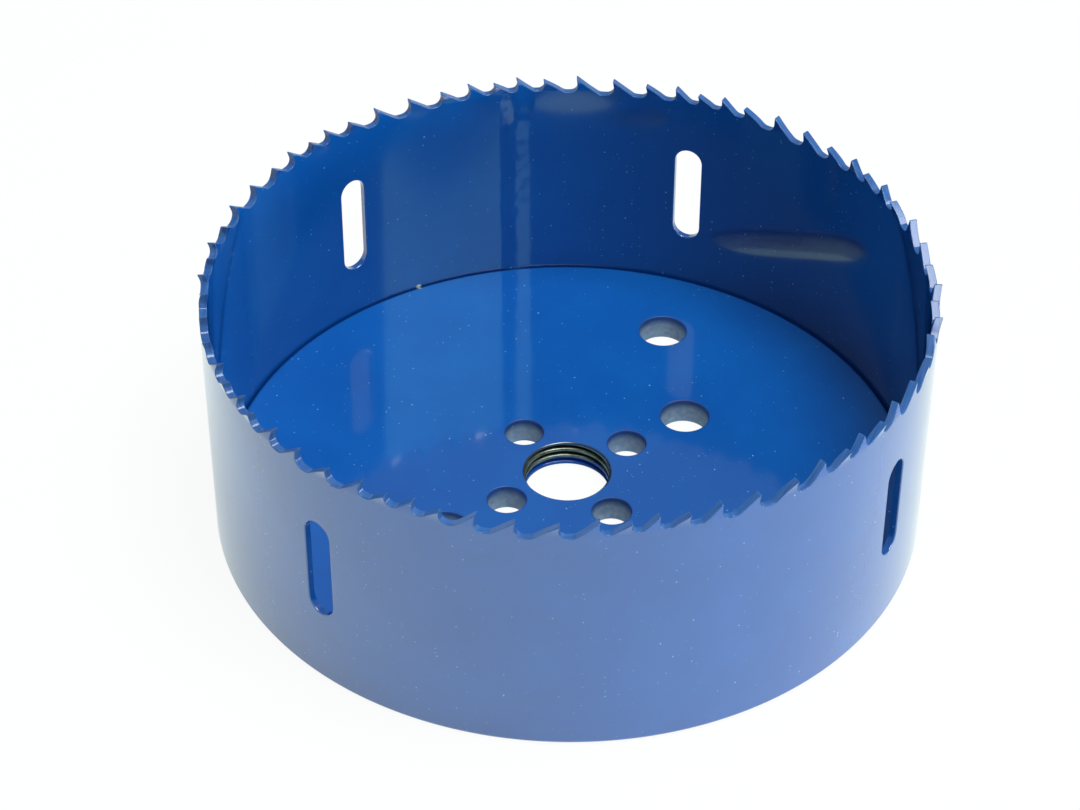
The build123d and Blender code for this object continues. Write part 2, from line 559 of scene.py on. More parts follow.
    def _relief(self, tree: bpy.types.NodeTree, place: Wire, speck: Wire) -> Wire:
        """Builds the coat's relief: orange peel, long waves, what lies below the coat, and the lint.

        Args:
            tree: The material's nodes.
            place: The object coordinates.
            speck: The speck mask.

        Returns:
            The bumped normal.
        """
        below: dict[str, Wire] = {}
        for layer in (
            Relief(self.peel_height, self.peel_spacing, 1.5, 0.45),
            Relief(self.wave_height, self.wave_spacing, 1.0, 0.4),
            # A drill's rings run round a hole's wall, so they are fine along its depth only.
            Relief(self.ring_height, 0.2, 2.0, stretch=(0.06, 0.06, 1.0)),
            Relief(self.grain_height, 0.45, 4.0, 0.65),
        ):
            if layer.height <= 0.0:
                continue
            pattern = place
            if layer.stretch is not None:
                pattern = add_node(tree, "VectorMath", {0: place, 1: layer.stretch}, operation="MULTIPLY")
            bumps = add_node(tree, "TexNoise", {
                "Vector": pattern, "Scale": per_metre(layer.spacing), "Detail": layer.detail,
                "Roughness": layer.roughness,
            })
            below = {"Normal": add_node(
                tree, "Bump", {"Strength": 1.0, "Distance": layer.height * MM, "Height": bumps, **below},
            )}
        return add_node(
            tree, "Bump", {"Strength": 0.6, "Distance": self.speck_height * MM, "Height": speck, **below},
        )


@dataclass(frozen=True)
class TappedSteel:
    """Mild steel, tapped and left oiled, with enamel run into its lower turns.

    It gives the eye a grey to olive metal with fine cutting lines round the thread, and glossy blue
    where the spray came in from the back of the plate.

    Attributes:
        name: The material's name.
        steel_colour: The cut steel.
        oil_colour: The steel under old cutting oil.
        root_shade_colour: The painted shade at the bottom of the grooves.
        paint_colour: The enamel in the lower turns.
        paint_top: The height up to which the enamel reaches, in mm.
        paint_wander: How far that height wanders round the hole, in mm.
        paint_fade: Half the height over which the enamel ends, in mm.
        steel_roughness: The bare steel's roughness.
        paint_roughness: The enamel's roughness.
        line_spacing: The distance between the tap's cutting lines, in mm.
        line_height: How far those lines stand up, in mm.
        film: Where the oil lies.
        film_shares: How oily the steel is between patches of the film and on them.
        root_shade_band: The depths in the groove over which the painted shade deepens, as shares.
        root_shade_share: How far that painted shade darkens the steel.
    """

    name: str
    steel_colour: str = "#9A9D93"
    oil_colour: str = "#4E5142"
    root_shade_colour: str = "#12140F"
    paint_colour: str = "#0C4496"
    paint_top: float = 1.85
    paint_wander: float = 1.6
    paint_fade: float = 0.15
    steel_roughness: float = 0.34
    paint_roughness: float = 0.14
    line_spacing: float = 0.16
    line_height: float = 0.012
    film: Patches = Patches(2.2, 4.0, 0.6, (0.35, 0.65))
    film_shares: tuple[float, float] = (0.1, 0.85)
    root_shade_band: tuple[float, float] = (0.25, 0.8)
    root_shade_share: float = 0.92

    def material(self) -> bpy.types.Material:
        """Builds the tapped steel.

        Returns:
            The finished material.
        """
        material = new_material(self.name)
        tree = material.node_tree
        place = add_node(tree, "TexCoord").outputs["Object"]
        # The mesh's layer holds the groove's depth, and shade is painted over its deeper half.
        depth = add_node(tree, "Attribute", attribute_name=WEAR_AND_SHADE_LAYER).outputs["Fac"]
        start, end = self.root_shade_band
        root_shade = add_node(tree, "MapRange", {
            "Value": depth, "From Min": start, "From Max": end, "To Max": self.root_shade_share,
        })
        painted = self._painted(tree, place)
        colour: Wire | tuple = linear_colour(self.steel_colour)
        for share, shade in (
            (self.film.mask(tree, place, *self.film_shares), self.oil_colour),
            (root_shade, self.root_shade_colour),
            (painted, self.paint_colour),
        ):
            colour = add_node(
                tree, "Mix", {"Factor": share, "A": colour, "B": linear_colour(shade)}, data_type="RGBA",
            )
        metallic = add_node(tree, "Math", {0: 1.0, 1: painted}, operation="SUBTRACT", use_clamp=True)
        gloss = add_node(tree, "MapRange", {
            "Value": painted, "To Min": self.steel_roughness, "To Max": self.paint_roughness,
        })
        lines = add_node(
            tree, "TexNoise", {"Vector": place, "Scale": per_metre(self.line_spacing), "Detail": 2.0},
        )
        normal = add_node(
            tree, "Bump", {"Strength": 0.5, "Distance": self.line_height * MM, "Height": lines},
        )
        shader = add_node(
            tree, "BsdfPrincipled",
            {"Base Color": colour, "Metallic": metallic, "Roughness": gloss, "Normal": normal},
        )
        add_node(tree, "OutputMaterial", {"Surface": shader})
        return material

    def _painted(self, tree: bpy.types.NodeTree, place: Wire) -> Wire:
        """Marks the turns that hold enamel.

        Args:
            tree: The material's nodes.
            place: The object coordinates.

        Returns:
            A mask that is 1 on the enamel.
        """
        height = add_node(tree, "SeparateXYZ", {"Vector": place}).outputs["Z"]
        wander = add_node(
            tree, "TexNoise", {"Vector": place, "Scale": per_metre(3.0), "Detail": 3.0, "Roughness": 0.6},
        )
        edge = add_node(
            tree, "Math", {0: wander, 1: -self.paint_wander * MM, 2: height}, operation="MULTIPLY_ADD",
        )
        # The noise wanders about its middle of a half.
        middle = self.paint_top - 0.5 * self.paint_wander
        return add_node(tree, "MapRange", {
            "Value": edge, "From Min": (middle - self.paint_fade) * MM,
            "From Max": (middle + self.paint_fade) * MM, "To Min": 1.0, "To Max": 0.0,
        })


# The open faces: a full, glossy coat, with painted shade in the plate-wall joint, on one side of the cup's
# inside and round the thread's upper lip.
OPEN_FACE = BakedEnamel(
    "baked_blue_enamel_sprayed", edge_wear_and_shade_colour="#2B3138", coat_roughness=0.07, crease_shade=(58.7, 4.75),
    shade_side_direction=-30.0, chip_place=(8.4, 57.95, 4.85),
)
# Plate holes: overspray only, matt and grey over the drill's rings, and blue near the top in a darker copy
# of the coat that paints in the hole's shade.
HOLE_WALL = BakedEnamel(
    "baked_blue_enamel_overspray", colour="#0A4A98", deep_colour="#083C80", roughness=0.5, coat_weight=0.0,
    coverage_gap=0.66, gap_contrast=0.22, bare_colour="#96A6B6", full_coat_height=4.15, coat_fade=1.3,
    peel_height=0.004, grain_height=0.006, ring_height=0.03, speck_share=0.2,
)
# Punched slots: a full coat, a little dulled by the sheared wall below it.
SLOT_WALL = BakedEnamel(
    "baked_blue_enamel_in_slots", colour="#0A4E98", roughness=0.2, peel_height=0.003, grain_height=0.006,
)
# Ground tooth edges: a thin, dull coat over steel, which drew back from every sharp corner.
TOOTH_EDGE = BakedEnamel(
    "baked_blue_enamel_on_ground_teeth", colour="#0A4F98", deep_colour="#09458A", roughness=0.8,
    coat_weight=0.45, coat_roughness=0.09, coverage_gap=0.06, gap_contrast=0.95, bare_colour="#86B8D2",
    streaked=True, edge_wear_and_shade_colour="#2F4458", peel_height=0.003, grain_height=0.006, speck_share=0.3,
)
# The weld: a full coat over the bead's ripples and spatter.
WELD_COAT = BakedEnamel(
    "baked_blue_enamel_on_weld_bead", colour="#0B489A", roughness=0.2, peel_height=0.004,
    grain_height=0.03, speck_share=0.4,
)
THREAD = TappedSteel("tapped_steel_oiled")


# --------------------------------------------------------------------------- mesh drafting


def unit(vectors: np.ndarray) -> np.ndarray:
    """Returns the vectors of an array scaled to length 1, along its last axis."""
    return vectors / np.maximum(np.linalg.norm(vectors, axis=-1, keepdims=True), 1e-12)


def spokes(turns: np.ndarray) -> np.ndarray:
    """Returns the flat unit vector at each angle in radians."""
    return np.stack((np.cos(turns), np.sin(turns)), axis=-1)


def at_level(flat: np.ndarray, level: float) -> np.ndarray:
    """Returns flat points or directions, each with this height as its third number."""
    return np.column_stack((flat, np.full(len(flat), level)))


def smooth_noise(x: float, y: float, z: float) -> float:
    """Returns a random value that changes smoothly from place to place, and is always the same there."""
    return noise.noise(Vector((x, y, z)))


def ease(share: np.ndarray | float) -> np.ndarray | float:
    """Returns a share from 0 to 1 eased in at its start and out at its end."""
    return share * share * (3.0 - 2.0 * share)


def rounding(radius: float, start: float, end: float, stations: int) -> list[tuple[float, float, float]]:
    """Steps round the quarter circle between a wall, at 0 degrees, and a face, at 90 degrees.

    Args:
        radius: The quarter circle's radius.
        start: The first station's angle, in degrees.
        end: The last station's angle, in degrees.
        stations: How many stations there are.

    Returns:
        For each station its distance from the wall, its distance from the face and its angle in radians.
    """
    return [
        (radius * (1.0 - math.cos(turn)), radius * (1.0 - math.sin(turn)), turn)
        for turn in np.radians(np.linspace(start, end, stations))
    ]


def weld(points: np.ndarray) -> tuple[np.ndarray, np.ndarray]:
    """Finds the points that share one place.

    Args:
        points: The points, in mm.

    Returns:
        The first point of each place, and the number of each point's place.
    """
    tree = KDTree(len(points))
    for index, point in enumerate(points):
        tree.insert(point, index)
    tree.balance()
    first = [min(index for _, index, _ in tree.find_range(point, WELD_DISTANCE)) for point in points]
    return np.unique(first, return_inverse=True)


@dataclass
class Draft:
    """The points, faces and corner normals of one piece, gathered in millimetres.

    Attributes:
        points: Blocks of point rows.
        faces: Each face's point numbers.
        normals: One normal for each face corner.
        finishes: Each face's material number.
        wear: Blocks of each point's edge wear.
        count: How many points there are so far.
    """

    points: list[np.ndarray] = field(default_factory=list)
    faces: Triangles = field(default_factory=list)
    normals: list[np.ndarray] = field(default_factory=list)
    finishes: list[int] = field(default_factory=list)
    wear: list[np.ndarray] = field(default_factory=list)
    count: int = 0

    def _add_points(self, points: np.ndarray, wear: np.ndarray | float) -> int:
        """Adds a block of points.

        Args:
            points: The points.
            wear: Their edge wear.

        Returns:
            The number of the first one.
        """
        first = self.count
        self.points.append(points.reshape(-1, 3))
        size = len(self.points[-1])
        self.wear.append(np.broadcast_to(np.asarray(wear, float).reshape(-1), (size,)).copy())
        self.count += size
        return first

    def add_triangles(
        self,
        points: np.ndarray,
        normals: np.ndarray,
        triangles: Triangles,
        wear: np.ndarray | float = 0.0,
    ) -> None:
        """Adds a triangulated open face.

        Args:
            points: The face's points.
            normals: One normal for each point.
            triangles: The triangles as point numbers within this face.
            wear: The points' edge wear.
        """
        first = self._add_points(points, wear)
        for triangle in triangles:
            self.faces.append(tuple(first + index for index in triangle))
            self.normals.extend(normals[index] for index in triangle)
            self.finishes.append(Finish.FACE.value)

    def add_grid(
        self,
        points: np.ndarray,
        start_normals: np.ndarray,
        end_normals: np.ndarray,
        finish: Finish = Finish.FACE,
        wear: np.ndarray | float = 0.0,
    ) -> None:
        """Adds a strip grid whose columns may meet at a sharp corner.

        Args:
            points: The grid's points, indexed by row and column.
            start_normals: The normals at each span's first column, by row and span.
            end_normals: The normals at each span's last column, by row and span.
            finish: The faces' finish.
            wear: The points' edge wear, by row and column.
        """
        rows, columns = points.shape[:2]
        first = self._add_points(points, wear)
        for row in range(rows - 1):
            for span in range(columns - 1):
                near = first + row * columns + span
                far = near + columns
                self.faces.append((near, near + 1, far + 1, far))
                self.normals.extend((
                    start_normals[row, span], end_normals[row, span],
                    end_normals[row + 1, span], start_normals[row + 1, span],
                ))
                self.finishes.append(finish.value)

    def add_smooth_grid(
        self,
        points: np.ndarray | list[np.ndarray],
        normals: np.ndarray | list[np.ndarray],
        finish: Finish = Finish.FACE,
        wear: np.ndarray | float = 0.0,
    ) -> None:
        """Adds a grid that is smooth across its columns.

        Args:
            points: The grid's points, indexed by row and column.
            normals: One normal for each point.
            finish: The faces' finish.
            wear: The points' edge wear, by row and column.
        """
        normals = np.array(normals)
        self.add_grid(np.array(points), normals[:, :-1], normals[:, 1:], finish, wear)

    def build(self, name: str, finishes: list[BakedEnamel | TappedSteel], node: str) -> bpy.types.Object:
        """Welds the blocks into one piece, which stands for a CAD node.

        Args:
            name: The piece's name.
            finishes: The finishes of its faces, in the order of Finish.
            node: The CAD node it replaces.

        Returns:
            The finished piece.
        """
        points = np.concatenate(self.points)
        keep, merged = weld(points)
        faces, normals, materials = [], [], []
        corner = 0
        for face, finish in zip(self.faces, self.finishes):
            ring, ring_normals = [], []
            for index in face:
                welded = int(merged[index])
                if welded not in ring:
                    ring.append(welded)
                    ring_normals.append(self.normals[corner])
                corner += 1
            if len(ring) > 2:
                faces.append(ring)
                normals.extend(ring_normals)
                materials.append(finish)
        mesh = bpy.data.meshes.new(name)
        mesh.from_pydata((points[keep] * MM).tolist(), [], faces)
        for finish in finishes:
            mesh.materials.append(finish.material())
        mesh.polygons.foreach_set("material_index", materials)
        layer = mesh.attributes.new(WEAR_AND_SHADE_LAYER, "FLOAT", "POINT")
        layer.data.foreach_set("value", np.concatenate(self.wear)[keep].astype(np.float32))
        mesh.shade_smooth()
        mesh.normals_split_custom_set([tuple(normal) for normal in unit(np.asarray(normals))])
        mesh.update()
        piece = bpy.data.objects.new(name, mesh)
        bpy.context.scene.collection.objects.link(piece)
        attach(piece, BODY)
        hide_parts(node)
        counts = len(mesh.vertices), len(mesh.polygons)
        LOG.info("%s stands for %s: %d points, %d faces", name, node, *counts)
        return piece


@dataclass(frozen=True)
class Edge:
    """One outline of a flat or rolled sheet, with the material on its left as it is walked.

    Attributes:
        points: The outline's points, as distance along and height, in mm.
        closed: Whether the last point joins the first.
    """

    # The cosine of the turn from which a corner is sharp.
    SHARP: ClassVar[float] = math.cos(math.radians(28.0))

    points: np.ndarray
    closed: bool

    def span_normals(self) -> np.ndarray:
        """Works out which way each span faces.

        Returns:
            Each span's normal, which points away from the material.
        """
        following = np.roll(self.points, -1, axis=0) if self.closed else self.points[1:]
        along = unit(following - (self.points if self.closed else self.points[:-1]))
        return np.stack((along[:, 1], -along[:, 0]), axis=1)

    def meeting_normals(self) -> tuple[np.ndarray, np.ndarray]:
        """Works out the spans that meet at each point.

        Returns:
            The normal of the span before each point and of the span after it.
        """
        spans = self.span_normals()
        if self.closed:
            return np.roll(spans, 1, axis=0), spans
        return np.vstack((spans[:1], spans)), np.vstack((spans, spans[-1:]))

    def inset(self, distance: float) -> np.ndarray:
        """Moves the outline into the material, with mitred corners.

        Args:
            distance: How far it moves.

        Returns:
            The moved points.
        """
        before, after = self.meeting_normals()
        share = 1.0 + np.sum(before * after, axis=1, keepdims=True)
        return self.points - distance * (before + after) / share

    def corner_normals(self) -> tuple[np.ndarray, np.ndarray]:
        """Shades gentle corners smoothly and keeps sharp ones crisp.

        Returns:
            The normal at the start and at the end of each span.
        """
        before, after = self.meeting_normals()
        smooth = np.sum(before * after, axis=1, keepdims=True) > self.SHARP
        mean = unit(before + after)
        leaving, arriving = np.where(smooth, mean, after), np.where(smooth, mean, before)
        if self.closed:
            return leaving, np.roll(arriving, -1, axis=0)
        return leaving[:-1], arriving[1:]


def fillet(before: Place, corner: Place, after: Place, radius: float, spans: int) -> list[Place]:
    """Rounds one corner of an outline.

    Args:
        before: The point before the corner.
        corner: The corner.
        after: The point after the corner.
        radius: The arc's radius.
        spans: How many straight spans make the arc.

    Returns:
        The arc's points from the first line to the second.
    """
    here = Vector(corner)
    back, ahead = (Vector(before) - here).normalized(), (Vector(after) - here).normalized()
    half = back.angle(ahead) / 2.0
    reach = radius / math.tan(half)
    centre = here + (back + ahead).normalized() * radius / math.sin(half)
    start, end = here + back * reach - centre, here + ahead * reach - centre
    turn = start.angle_signed(end)
    points = []
    for step in range(spans + 1):
        spoke = start.copy()
        spoke.rotate(Matrix.Rotation(-turn * step / spans, 2))
        points.append(tuple(centre + spoke))
    return points


def between(start: Place, end: Place, spans: int) -> list[Place]:
    """Returns the points that divide a straight line into spans, without its ends."""
    return [
        (start[0] + (end[0] - start[0]) * step / spans, start[1] + (end[1] - start[1]) * step / spans)
        for step in range(1, spans)
    ]


def triangulate(loops: list[np.ndarray], inner_points: np.ndarray) -> tuple[np.ndarray, Triangles]:
    """Fills the space between outlines with well-shaped triangles.

    Args:
        loops: The closed outlines; the first is the outside, the rest are holes.
        inner_points: Extra points that keep the triangles small.

    Returns:
        The points, and the triangles as anticlockwise point numbers.
    """
    coords = [Vector(point) for loop in loops for point in loop]
    edges, first = [], 0
    for loop in loops:
        size = len(loop)
        edges.extend((first + step, first + (step + 1) % size) for step in range(size))
        first += size
    coords.extend(Vector(point) for point in inner_points)
    # 1 asks for triangles inside the outlines; 1e-7 is the distance at which points are one.
    points, _, faces, *_ = delaunay_2d_cdt(coords, edges, [], 1, 1e-7)
    flat = np.array([(point.x, point.y) for point in points])
    kept = []
    for face in faces:
        middle = flat[list(face)].mean(axis=0)
        if not any(inside_loop(middle, hole) for hole in loops[1:]):
            kept.append(tuple(face))
    return flat, kept


def inside_loop(point: np.ndarray, loop: np.ndarray) -> bool:
    """Tells whether a point lies inside a closed outline.

    Args:
        point: The point.
        loop: The outline's points.

    Returns:
        True if the point is inside.
    """
    x, y = point
    low, high = loop.min(axis=0), loop.max(axis=0)
    if not (low[0] < x < high[0] and low[1] < y < high[1]):
        return False
    following = np.roll(loop, -1, axis=0)
    crosses = (loop[:, 1] > y) != (following[:, 1] > y)
    rise = np.where(crosses, following[:, 1] - loop[:, 1], 1.0)
    at = loop[:, 0] + (y - loop[:, 1]) * (following[:, 0] - loop[:, 0]) / rise
    return bool(np.count_nonzero(crosses & (at > x)) % 2)


def flipped(triangles: Triangles) -> Triangles:
    """Returns the triangles facing the other way."""
    return [triangle[::-1] for triangle in triangles]


# --------------------------------------------------------------------------- the toothed wall


@dataclass
class ToothedWall:
    """The cup's wall: a strip with cut teeth and slots, rolled into a ring and butt welded.

    Positions are (along, height): the distance along the rim from the first straight tooth's tip,
    anticlockwise seen from the teeth, and the height over the back face.
    """

    outer_radius: float = 60.0
    thickness: float = 1.3
    height: float = 45.6
    # Teeth: the set pushes each one out or in, more and more towards its tip.
    tooth_set: float = 0.45
    set_power: float = 1.35
    first_tip_angle: float = 10.25
    rake_angle: float = 8.0
    relief_angle: float = 35.0
    tip_land: float = 0.2
    depth_per_pitch: float = 0.42
    gullet_radius_per_pitch: float = 0.22
    gullet_place: float = 0.21
    gullet_spans: tuple[int, int] = (8, 4)
    flank_spans: tuple[int, int] = (2, 4)
    group: tuple[tuple[ToothSet, float], ...] = (
        (ToothSet.STRAIGHT, 6.6), (ToothSet.OUTWARD, 6.0), (ToothSet.INWARD, 4.8),
        (ToothSet.OUTWARD, 4.3), (ToothSet.INWARD, 4.55), (ToothSet.OUTWARD, 5.35),
        (ToothSet.INWARD, 6.15),
    )
    group_count: int = 10
    # Slots.
    slot_count: int = 4
    slot_pitch_angle: float = 99.3
    slot_width: float = 5.1
    slot_length: float = 19.0
    slot_middle: float = 23.9
    slot_arc_spans: int = 24
    slot_side_spans: int = 11
    # The butt weld's dressed bead; its crest lies a little to one side, as a share of its half width.
    seam_angle: float = 63.4
    seam_width: float = 6.6
    seam_height: float = 0.2
    seam_shift: float = -0.4
    seam_crest: float = 0.12
    # Rounded edges.
    tooth_rounding: float = 0.12
    slot_rounding: float = 0.22
    foot_rounding: float = 0.8
    inner_foot_rounding: float = 0.3
    # Wear: how strong it is, and how far it reaches down a tooth's edge and its face.
    tooth_wear: float = 0.4
    edge_wear_reach: float = 1.1
    face_wear_reach: float = 0.5
    # The face's mesh.
    column_count: int = 237
    row_spacing: float = 1.05
    seam_column_spacing: float = 0.22
    seam_column_reach: float = 0.75
    # How far below the bend its last full row and its last loose row lie.
    full_row_drop: float = 1.4
    loose_row_drop: float = 0.5
    # The least distance of an inner point from an outline, and below the rim where points are crowded.
    outline_clearance: float = 0.42
    rim_clearance: float = 0.4
    crowded_drop: float = 1.6
    seam_along: float = field(init=False)
    length: float = field(init=False)
    degrees_per_mm: float = field(init=False)
    bend_height: float = field(init=False)
    cut: float = field(init=False)
    tips: list[tuple[float, ToothSet, float]] = field(init=False)

    def __post_init__(self) -> None:
        """Works out the tooth positions and the place where the unrolled strip begins."""
        pitches = [pitch for _, pitch in self.group]
        self.length = self.group_count * sum(pitches)
        self.degrees_per_mm = 360.0 / self.length
        self.bend_height = self.height - self.depth_per_pitch * min(pitches)
        self.tips = []
        along = 0.0
        for _ in range(self.group_count):
            for lean, pitch in self.group:
                self.tips.append((along, lean, pitch))
                along += pitch
        self.cut = pitches[0] * self.gullet_place
        self.seam_along = self.along_at(self.seam_angle) + self.seam_shift

    def wrap(self, along: np.ndarray | float) -> np.ndarray | float:
        """Returns distances along the rim brought round to lie on the unrolled strip."""
        return (along - self.cut) % self.length + self.cut

    def along_at(self, angle: float) -> float:
        """Returns the distance along the rim for an angle in degrees, from the strip's beginning."""
        return self.wrap((angle - self.first_tip_angle) / self.degrees_per_mm)

    # ---- shape of the rolled strip

    def directions(self, along: np.ndarray) -> tuple[np.ndarray, np.ndarray, np.ndarray]:
        """Works out the ring's own directions.

        Args:
            along: Distances along the rim.

        Returns:
            The unit vectors outwards, anticlockwise and up.
        """
        angle = np.radians(self.first_tip_angle + along * self.degrees_per_mm)
        cosine, sine, none = np.cos(angle), np.sin(angle), np.zeros_like(angle)
        return tuple(
            np.stack(parts, axis=-1)
            for parts in ((cosine, sine, none), (-sine, cosine, none), (none, none, none + 1.0))
        )

    def lean_at(self, along: np.ndarray, height: np.ndarray) -> np.ndarray:
        """Gives how far the set pushes a point out from the wall.

        Args:
            along: Distances along the rim.
            height: Heights over the back face.

        Returns:
            The radial shift, in mm.
        """
        gullets = np.array([tip + pitch * self.gullet_place for tip, _, pitch in self.tips])
        signs = np.array([lean.value for _, lean, _ in self.tips])
        # A place right on a gullet belongs to the tooth before it.
        owner = np.searchsorted(gullets, self.wrap(along) - 1e-6) % len(signs)
        share = np.clip((height - self.bend_height) / (self.height - self.bend_height), 0.0, 1.0)
        return signs[owner] * self.tooth_set * share ** self.set_power

    def seam_at(self, along: np.ndarray, height: np.ndarray) -> np.ndarray:
        """Gives the height of the butt weld's dressed bead.

        The bead rises over its left part, falls over its right part and wanders along its length.

        Args:
            along: Distances along the rim.
            height: Heights over the back face.

        Returns:
            The bead's height on each face of the strip, in mm.
        """
        shape = np.zeros(np.broadcast(along, height).shape)
        reach = self.seam_width / 2.0
        # No wandering or broadening takes the bead's edge further out than this.
        farthest = reach * 1.4
        for index, (at, up) in enumerate(zip(np.ravel(along), np.ravel(height))):
            across = at - self.seam_along
            if abs(across) > farthest:
                continue
            # Each random value has its own rate of change up the bead, in turns per mm.
            wander = 0.30 * smooth_noise(up * 0.16, 3.7, 0.0) + 0.12 * smooth_noise(up * 0.7, 9.1, 0.0)
            swell = 1.0 + 0.22 * smooth_noise(up * 0.22, 1.3, 4.0)
            breadth = 1.0 + 0.10 * smooth_noise(up * 0.45, 5.0, 2.0)
            ripple = 1.0 + 0.10 * smooth_noise(up * 1.1, across * 0.9, 7.0)
            place = (across - wander) / (reach * breadth)
            if abs(place) >= 1.0:
                continue
            if place < self.seam_crest:
                run = (place + 1.0) / (self.seam_crest + 1.0)
            else:
                run = (1.0 - place) / (1.0 - self.seam_crest)
            shape.flat[index] = self.seam_height * swell * ease(run) * ripple
        return shape

    def roll(self, along: np.ndarray, height: np.ndarray, depth: float) -> np.ndarray:
        """Rolls points of the flat strip up into the ring.

        Args:
            along: Distances along the rim.
            height: Heights over the back face.
            depth: Their depth below the outer face.

        Returns:
            The points in the cup's own frame.
        """
        bead = self.seam_at(along, height) * (1.0 - 2.0 * (depth / self.thickness))
        radius = self.outer_radius - depth + self.lean_at(along, height) + bead
        outward, _, up = self.directions(along)
        return radius[..., None] * outward + height[..., None] * up

    def face_normals(self, along: np.ndarray, height: np.ndarray, side: Side) -> np.ndarray:
        """Works out the rolled face's normals from its own slope.

        Args:
            along: Distances along the rim.
            height: Heights over the back face.
            side: Which face of the strip.

        Returns:
            The unit normals, out of the material.
        """
        step = 0.05
        ahead, up_step = np.array((step, 0.0)), np.array((0.0, step))
        places = np.stack((along, height))

        def slope(shape: Callable[..., np.ndarray], move: np.ndarray) -> np.ndarray:
            """Returns how fast a shape rises over a short move."""
            start, end = places - move[:, None], places + move[:, None]
            return (shape(*end) - shape(*start)) / (2 * step)

        lean_up = slope(self.lean_at, up_step)
        # Above the tips the lean stops, so half of its rise is missed there.
        lean_up = np.where(height > self.height - 2 * step, lean_up * 2.0, lean_up)
        rise = (side.value * slope(self.seam_at, up_step) + lean_up)[..., None]
        sweep = (side.value * slope(self.seam_at, ahead))[..., None]
        outward, tangent, up = self.directions(along)
        return side.value * unit(outward - sweep * tangent - rise * up)

    def in_plane(self, along: np.ndarray, direction: np.ndarray) -> np.ndarray:
        """Turns directions in the flat strip into directions on the ring.

        Args:
            along: Distances along the rim.
            direction: The flat directions, as along and up.

        Returns:
            The same directions in the cup's frame.
        """
        _, tangent, up = self.directions(along)
        return direction[..., :1] * tangent + direction[..., 1:] * up

    # ---- outlines of the flat strip

    def tooth_outline(self) -> np.ndarray:
        """Draws the toothed rim from the strip's beginning to its end.

        Returns:
            The outline's points, as along and height.
        """
        rake, relief = math.tan(math.radians(self.rake_angle)), math.tan(math.radians(self.relief_angle))
        tops: list[Place] = []
        for along, _, pitch in self.tips:
            depth = pitch * self.depth_per_pitch
            radius = pitch * self.gullet_radius_per_pitch
            floor = self.height - depth
            tip, land_start = (along, self.height), (along + pitch - self.tip_land, self.height)
            rake_foot = (along - depth * rake, floor)
            relief_foot = (along + pitch - self.tip_land - depth / relief, floor)
            first_arc = fillet(tip, rake_foot, relief_foot, radius, self.gullet_spans[0])
            second_arc = fillet(rake_foot, relief_foot, land_start, radius, self.gullet_spans[1])
            tops += [
                tip, *between(tip, first_arc[0], self.flank_spans[0]), *first_arc,
                (along + pitch * self.gullet_place, floor),
                *second_arc, *between(second_arc[-1], land_start, self.flank_spans[1]), land_start,
            ]
        points = np.array(tops)
        first_gullet = (self.cut, self.height - self.depth_per_pitch * self.group[0][1])
        start = int(np.argmin(np.abs(points - first_gullet).sum(axis=1)))
        once_round = (self.length, 0.0)
        return np.vstack((points[start:], points[:start] + once_round, points[start] + once_round))[::-1]

    def slot_outlines(self) -> list[np.ndarray]:
        """Draws the slots, clockwise, so that the material lies on the left.

        Returns:
            One closed outline for each slot.
        """
        radius = self.slot_width / 2.0
        reach = self.slot_length / 2.0 - radius
        arc = [math.pi * step / self.slot_arc_spans for step in range(self.slot_arc_spans + 1)]
        sides = np.linspace(reach, -reach, self.slot_side_spans + 1)[1:-1]
        outlines = []
        for index in range(self.slot_count):
            turned = (index - (self.slot_count - 1) / 2.0) * self.slot_pitch_angle
            middle = self.along_at(self.seam_angle + 180.0 + turned)
            points = []
            for half in (1.0, -1.0):
                points += [
                    (middle - half * radius * math.cos(turn),
                     self.slot_middle + half * reach + half * radius * math.sin(turn))
                    for turn in arc
                ]
                points += [(middle + half * radius, self.slot_middle + half * drop) for drop in sides]
            outlines.append(np.array(points))
        return outlines

    def column_positions(self) -> np.ndarray:
        """Spaces the face's columns out, closer over the butt weld.

        Returns:
            The columns' distances along the rim.
        """
        coarse = np.linspace(self.cut, self.cut + self.length, self.column_count)
        reach = self.seam_width * self.seam_column_reach
        fine = np.arange(self.seam_along - reach, self.seam_along + reach, self.seam_column_spacing)
        return np.unique(np.concatenate((coarse[np.abs(coarse - self.seam_along) >= reach], fine)))

    def flat_skin(self, top: np.ndarray, slots: list[np.ndarray]) -> tuple[np.ndarray, Triangles]:
        """Triangulates the strip's face.

        Args:
            top: The rounded-over tooth outline, from the strip's end to its beginning.
            slots: The rounded-over slot outlines.

        Returns:
            The points and triangles of the flat face.
        """
        foot, last_row = self.foot_rounding, self.bend_height - self.full_row_drop
        begin, end = self.cut, self.cut + self.length
        columns = self.column_positions()
        rows = np.linspace(foot, last_row, int(round((last_row - foot) / self.row_spacing)) + 1)
        left = np.array([(begin, row) for row in rows[::-1]])
        right = np.array([(end, row) for row in rows])
        bottom = np.array([(column, foot) for column in columns[1:-1]])
        outline = np.vstack((left, bottom, right, top))
        levels = (*rows[1:], self.bend_height - self.loose_row_drop)
        grid = np.array([(column, level) for level in levels for column in columns[1:-1]])
        clear = np.ones(len(grid), bool)
        # Blocks keep the table of distances small.
        block = 4000
        for loop in [top, *slots]:
            for start in range(0, len(grid), block):
                part = grid[start:start + block]
                gap = np.linalg.norm(part[:, None, :] - loop[None, :, :], axis=2).min(axis=1)
                clear[start:start + block] &= gap > self.outline_clearance
        for slot in slots:
            near = np.all((grid > slot.min(axis=0)) & (grid < slot.max(axis=0)), axis=1)
            for index in np.flatnonzero(near):
                clear[index] &= not inside_loop(grid[index], slot)
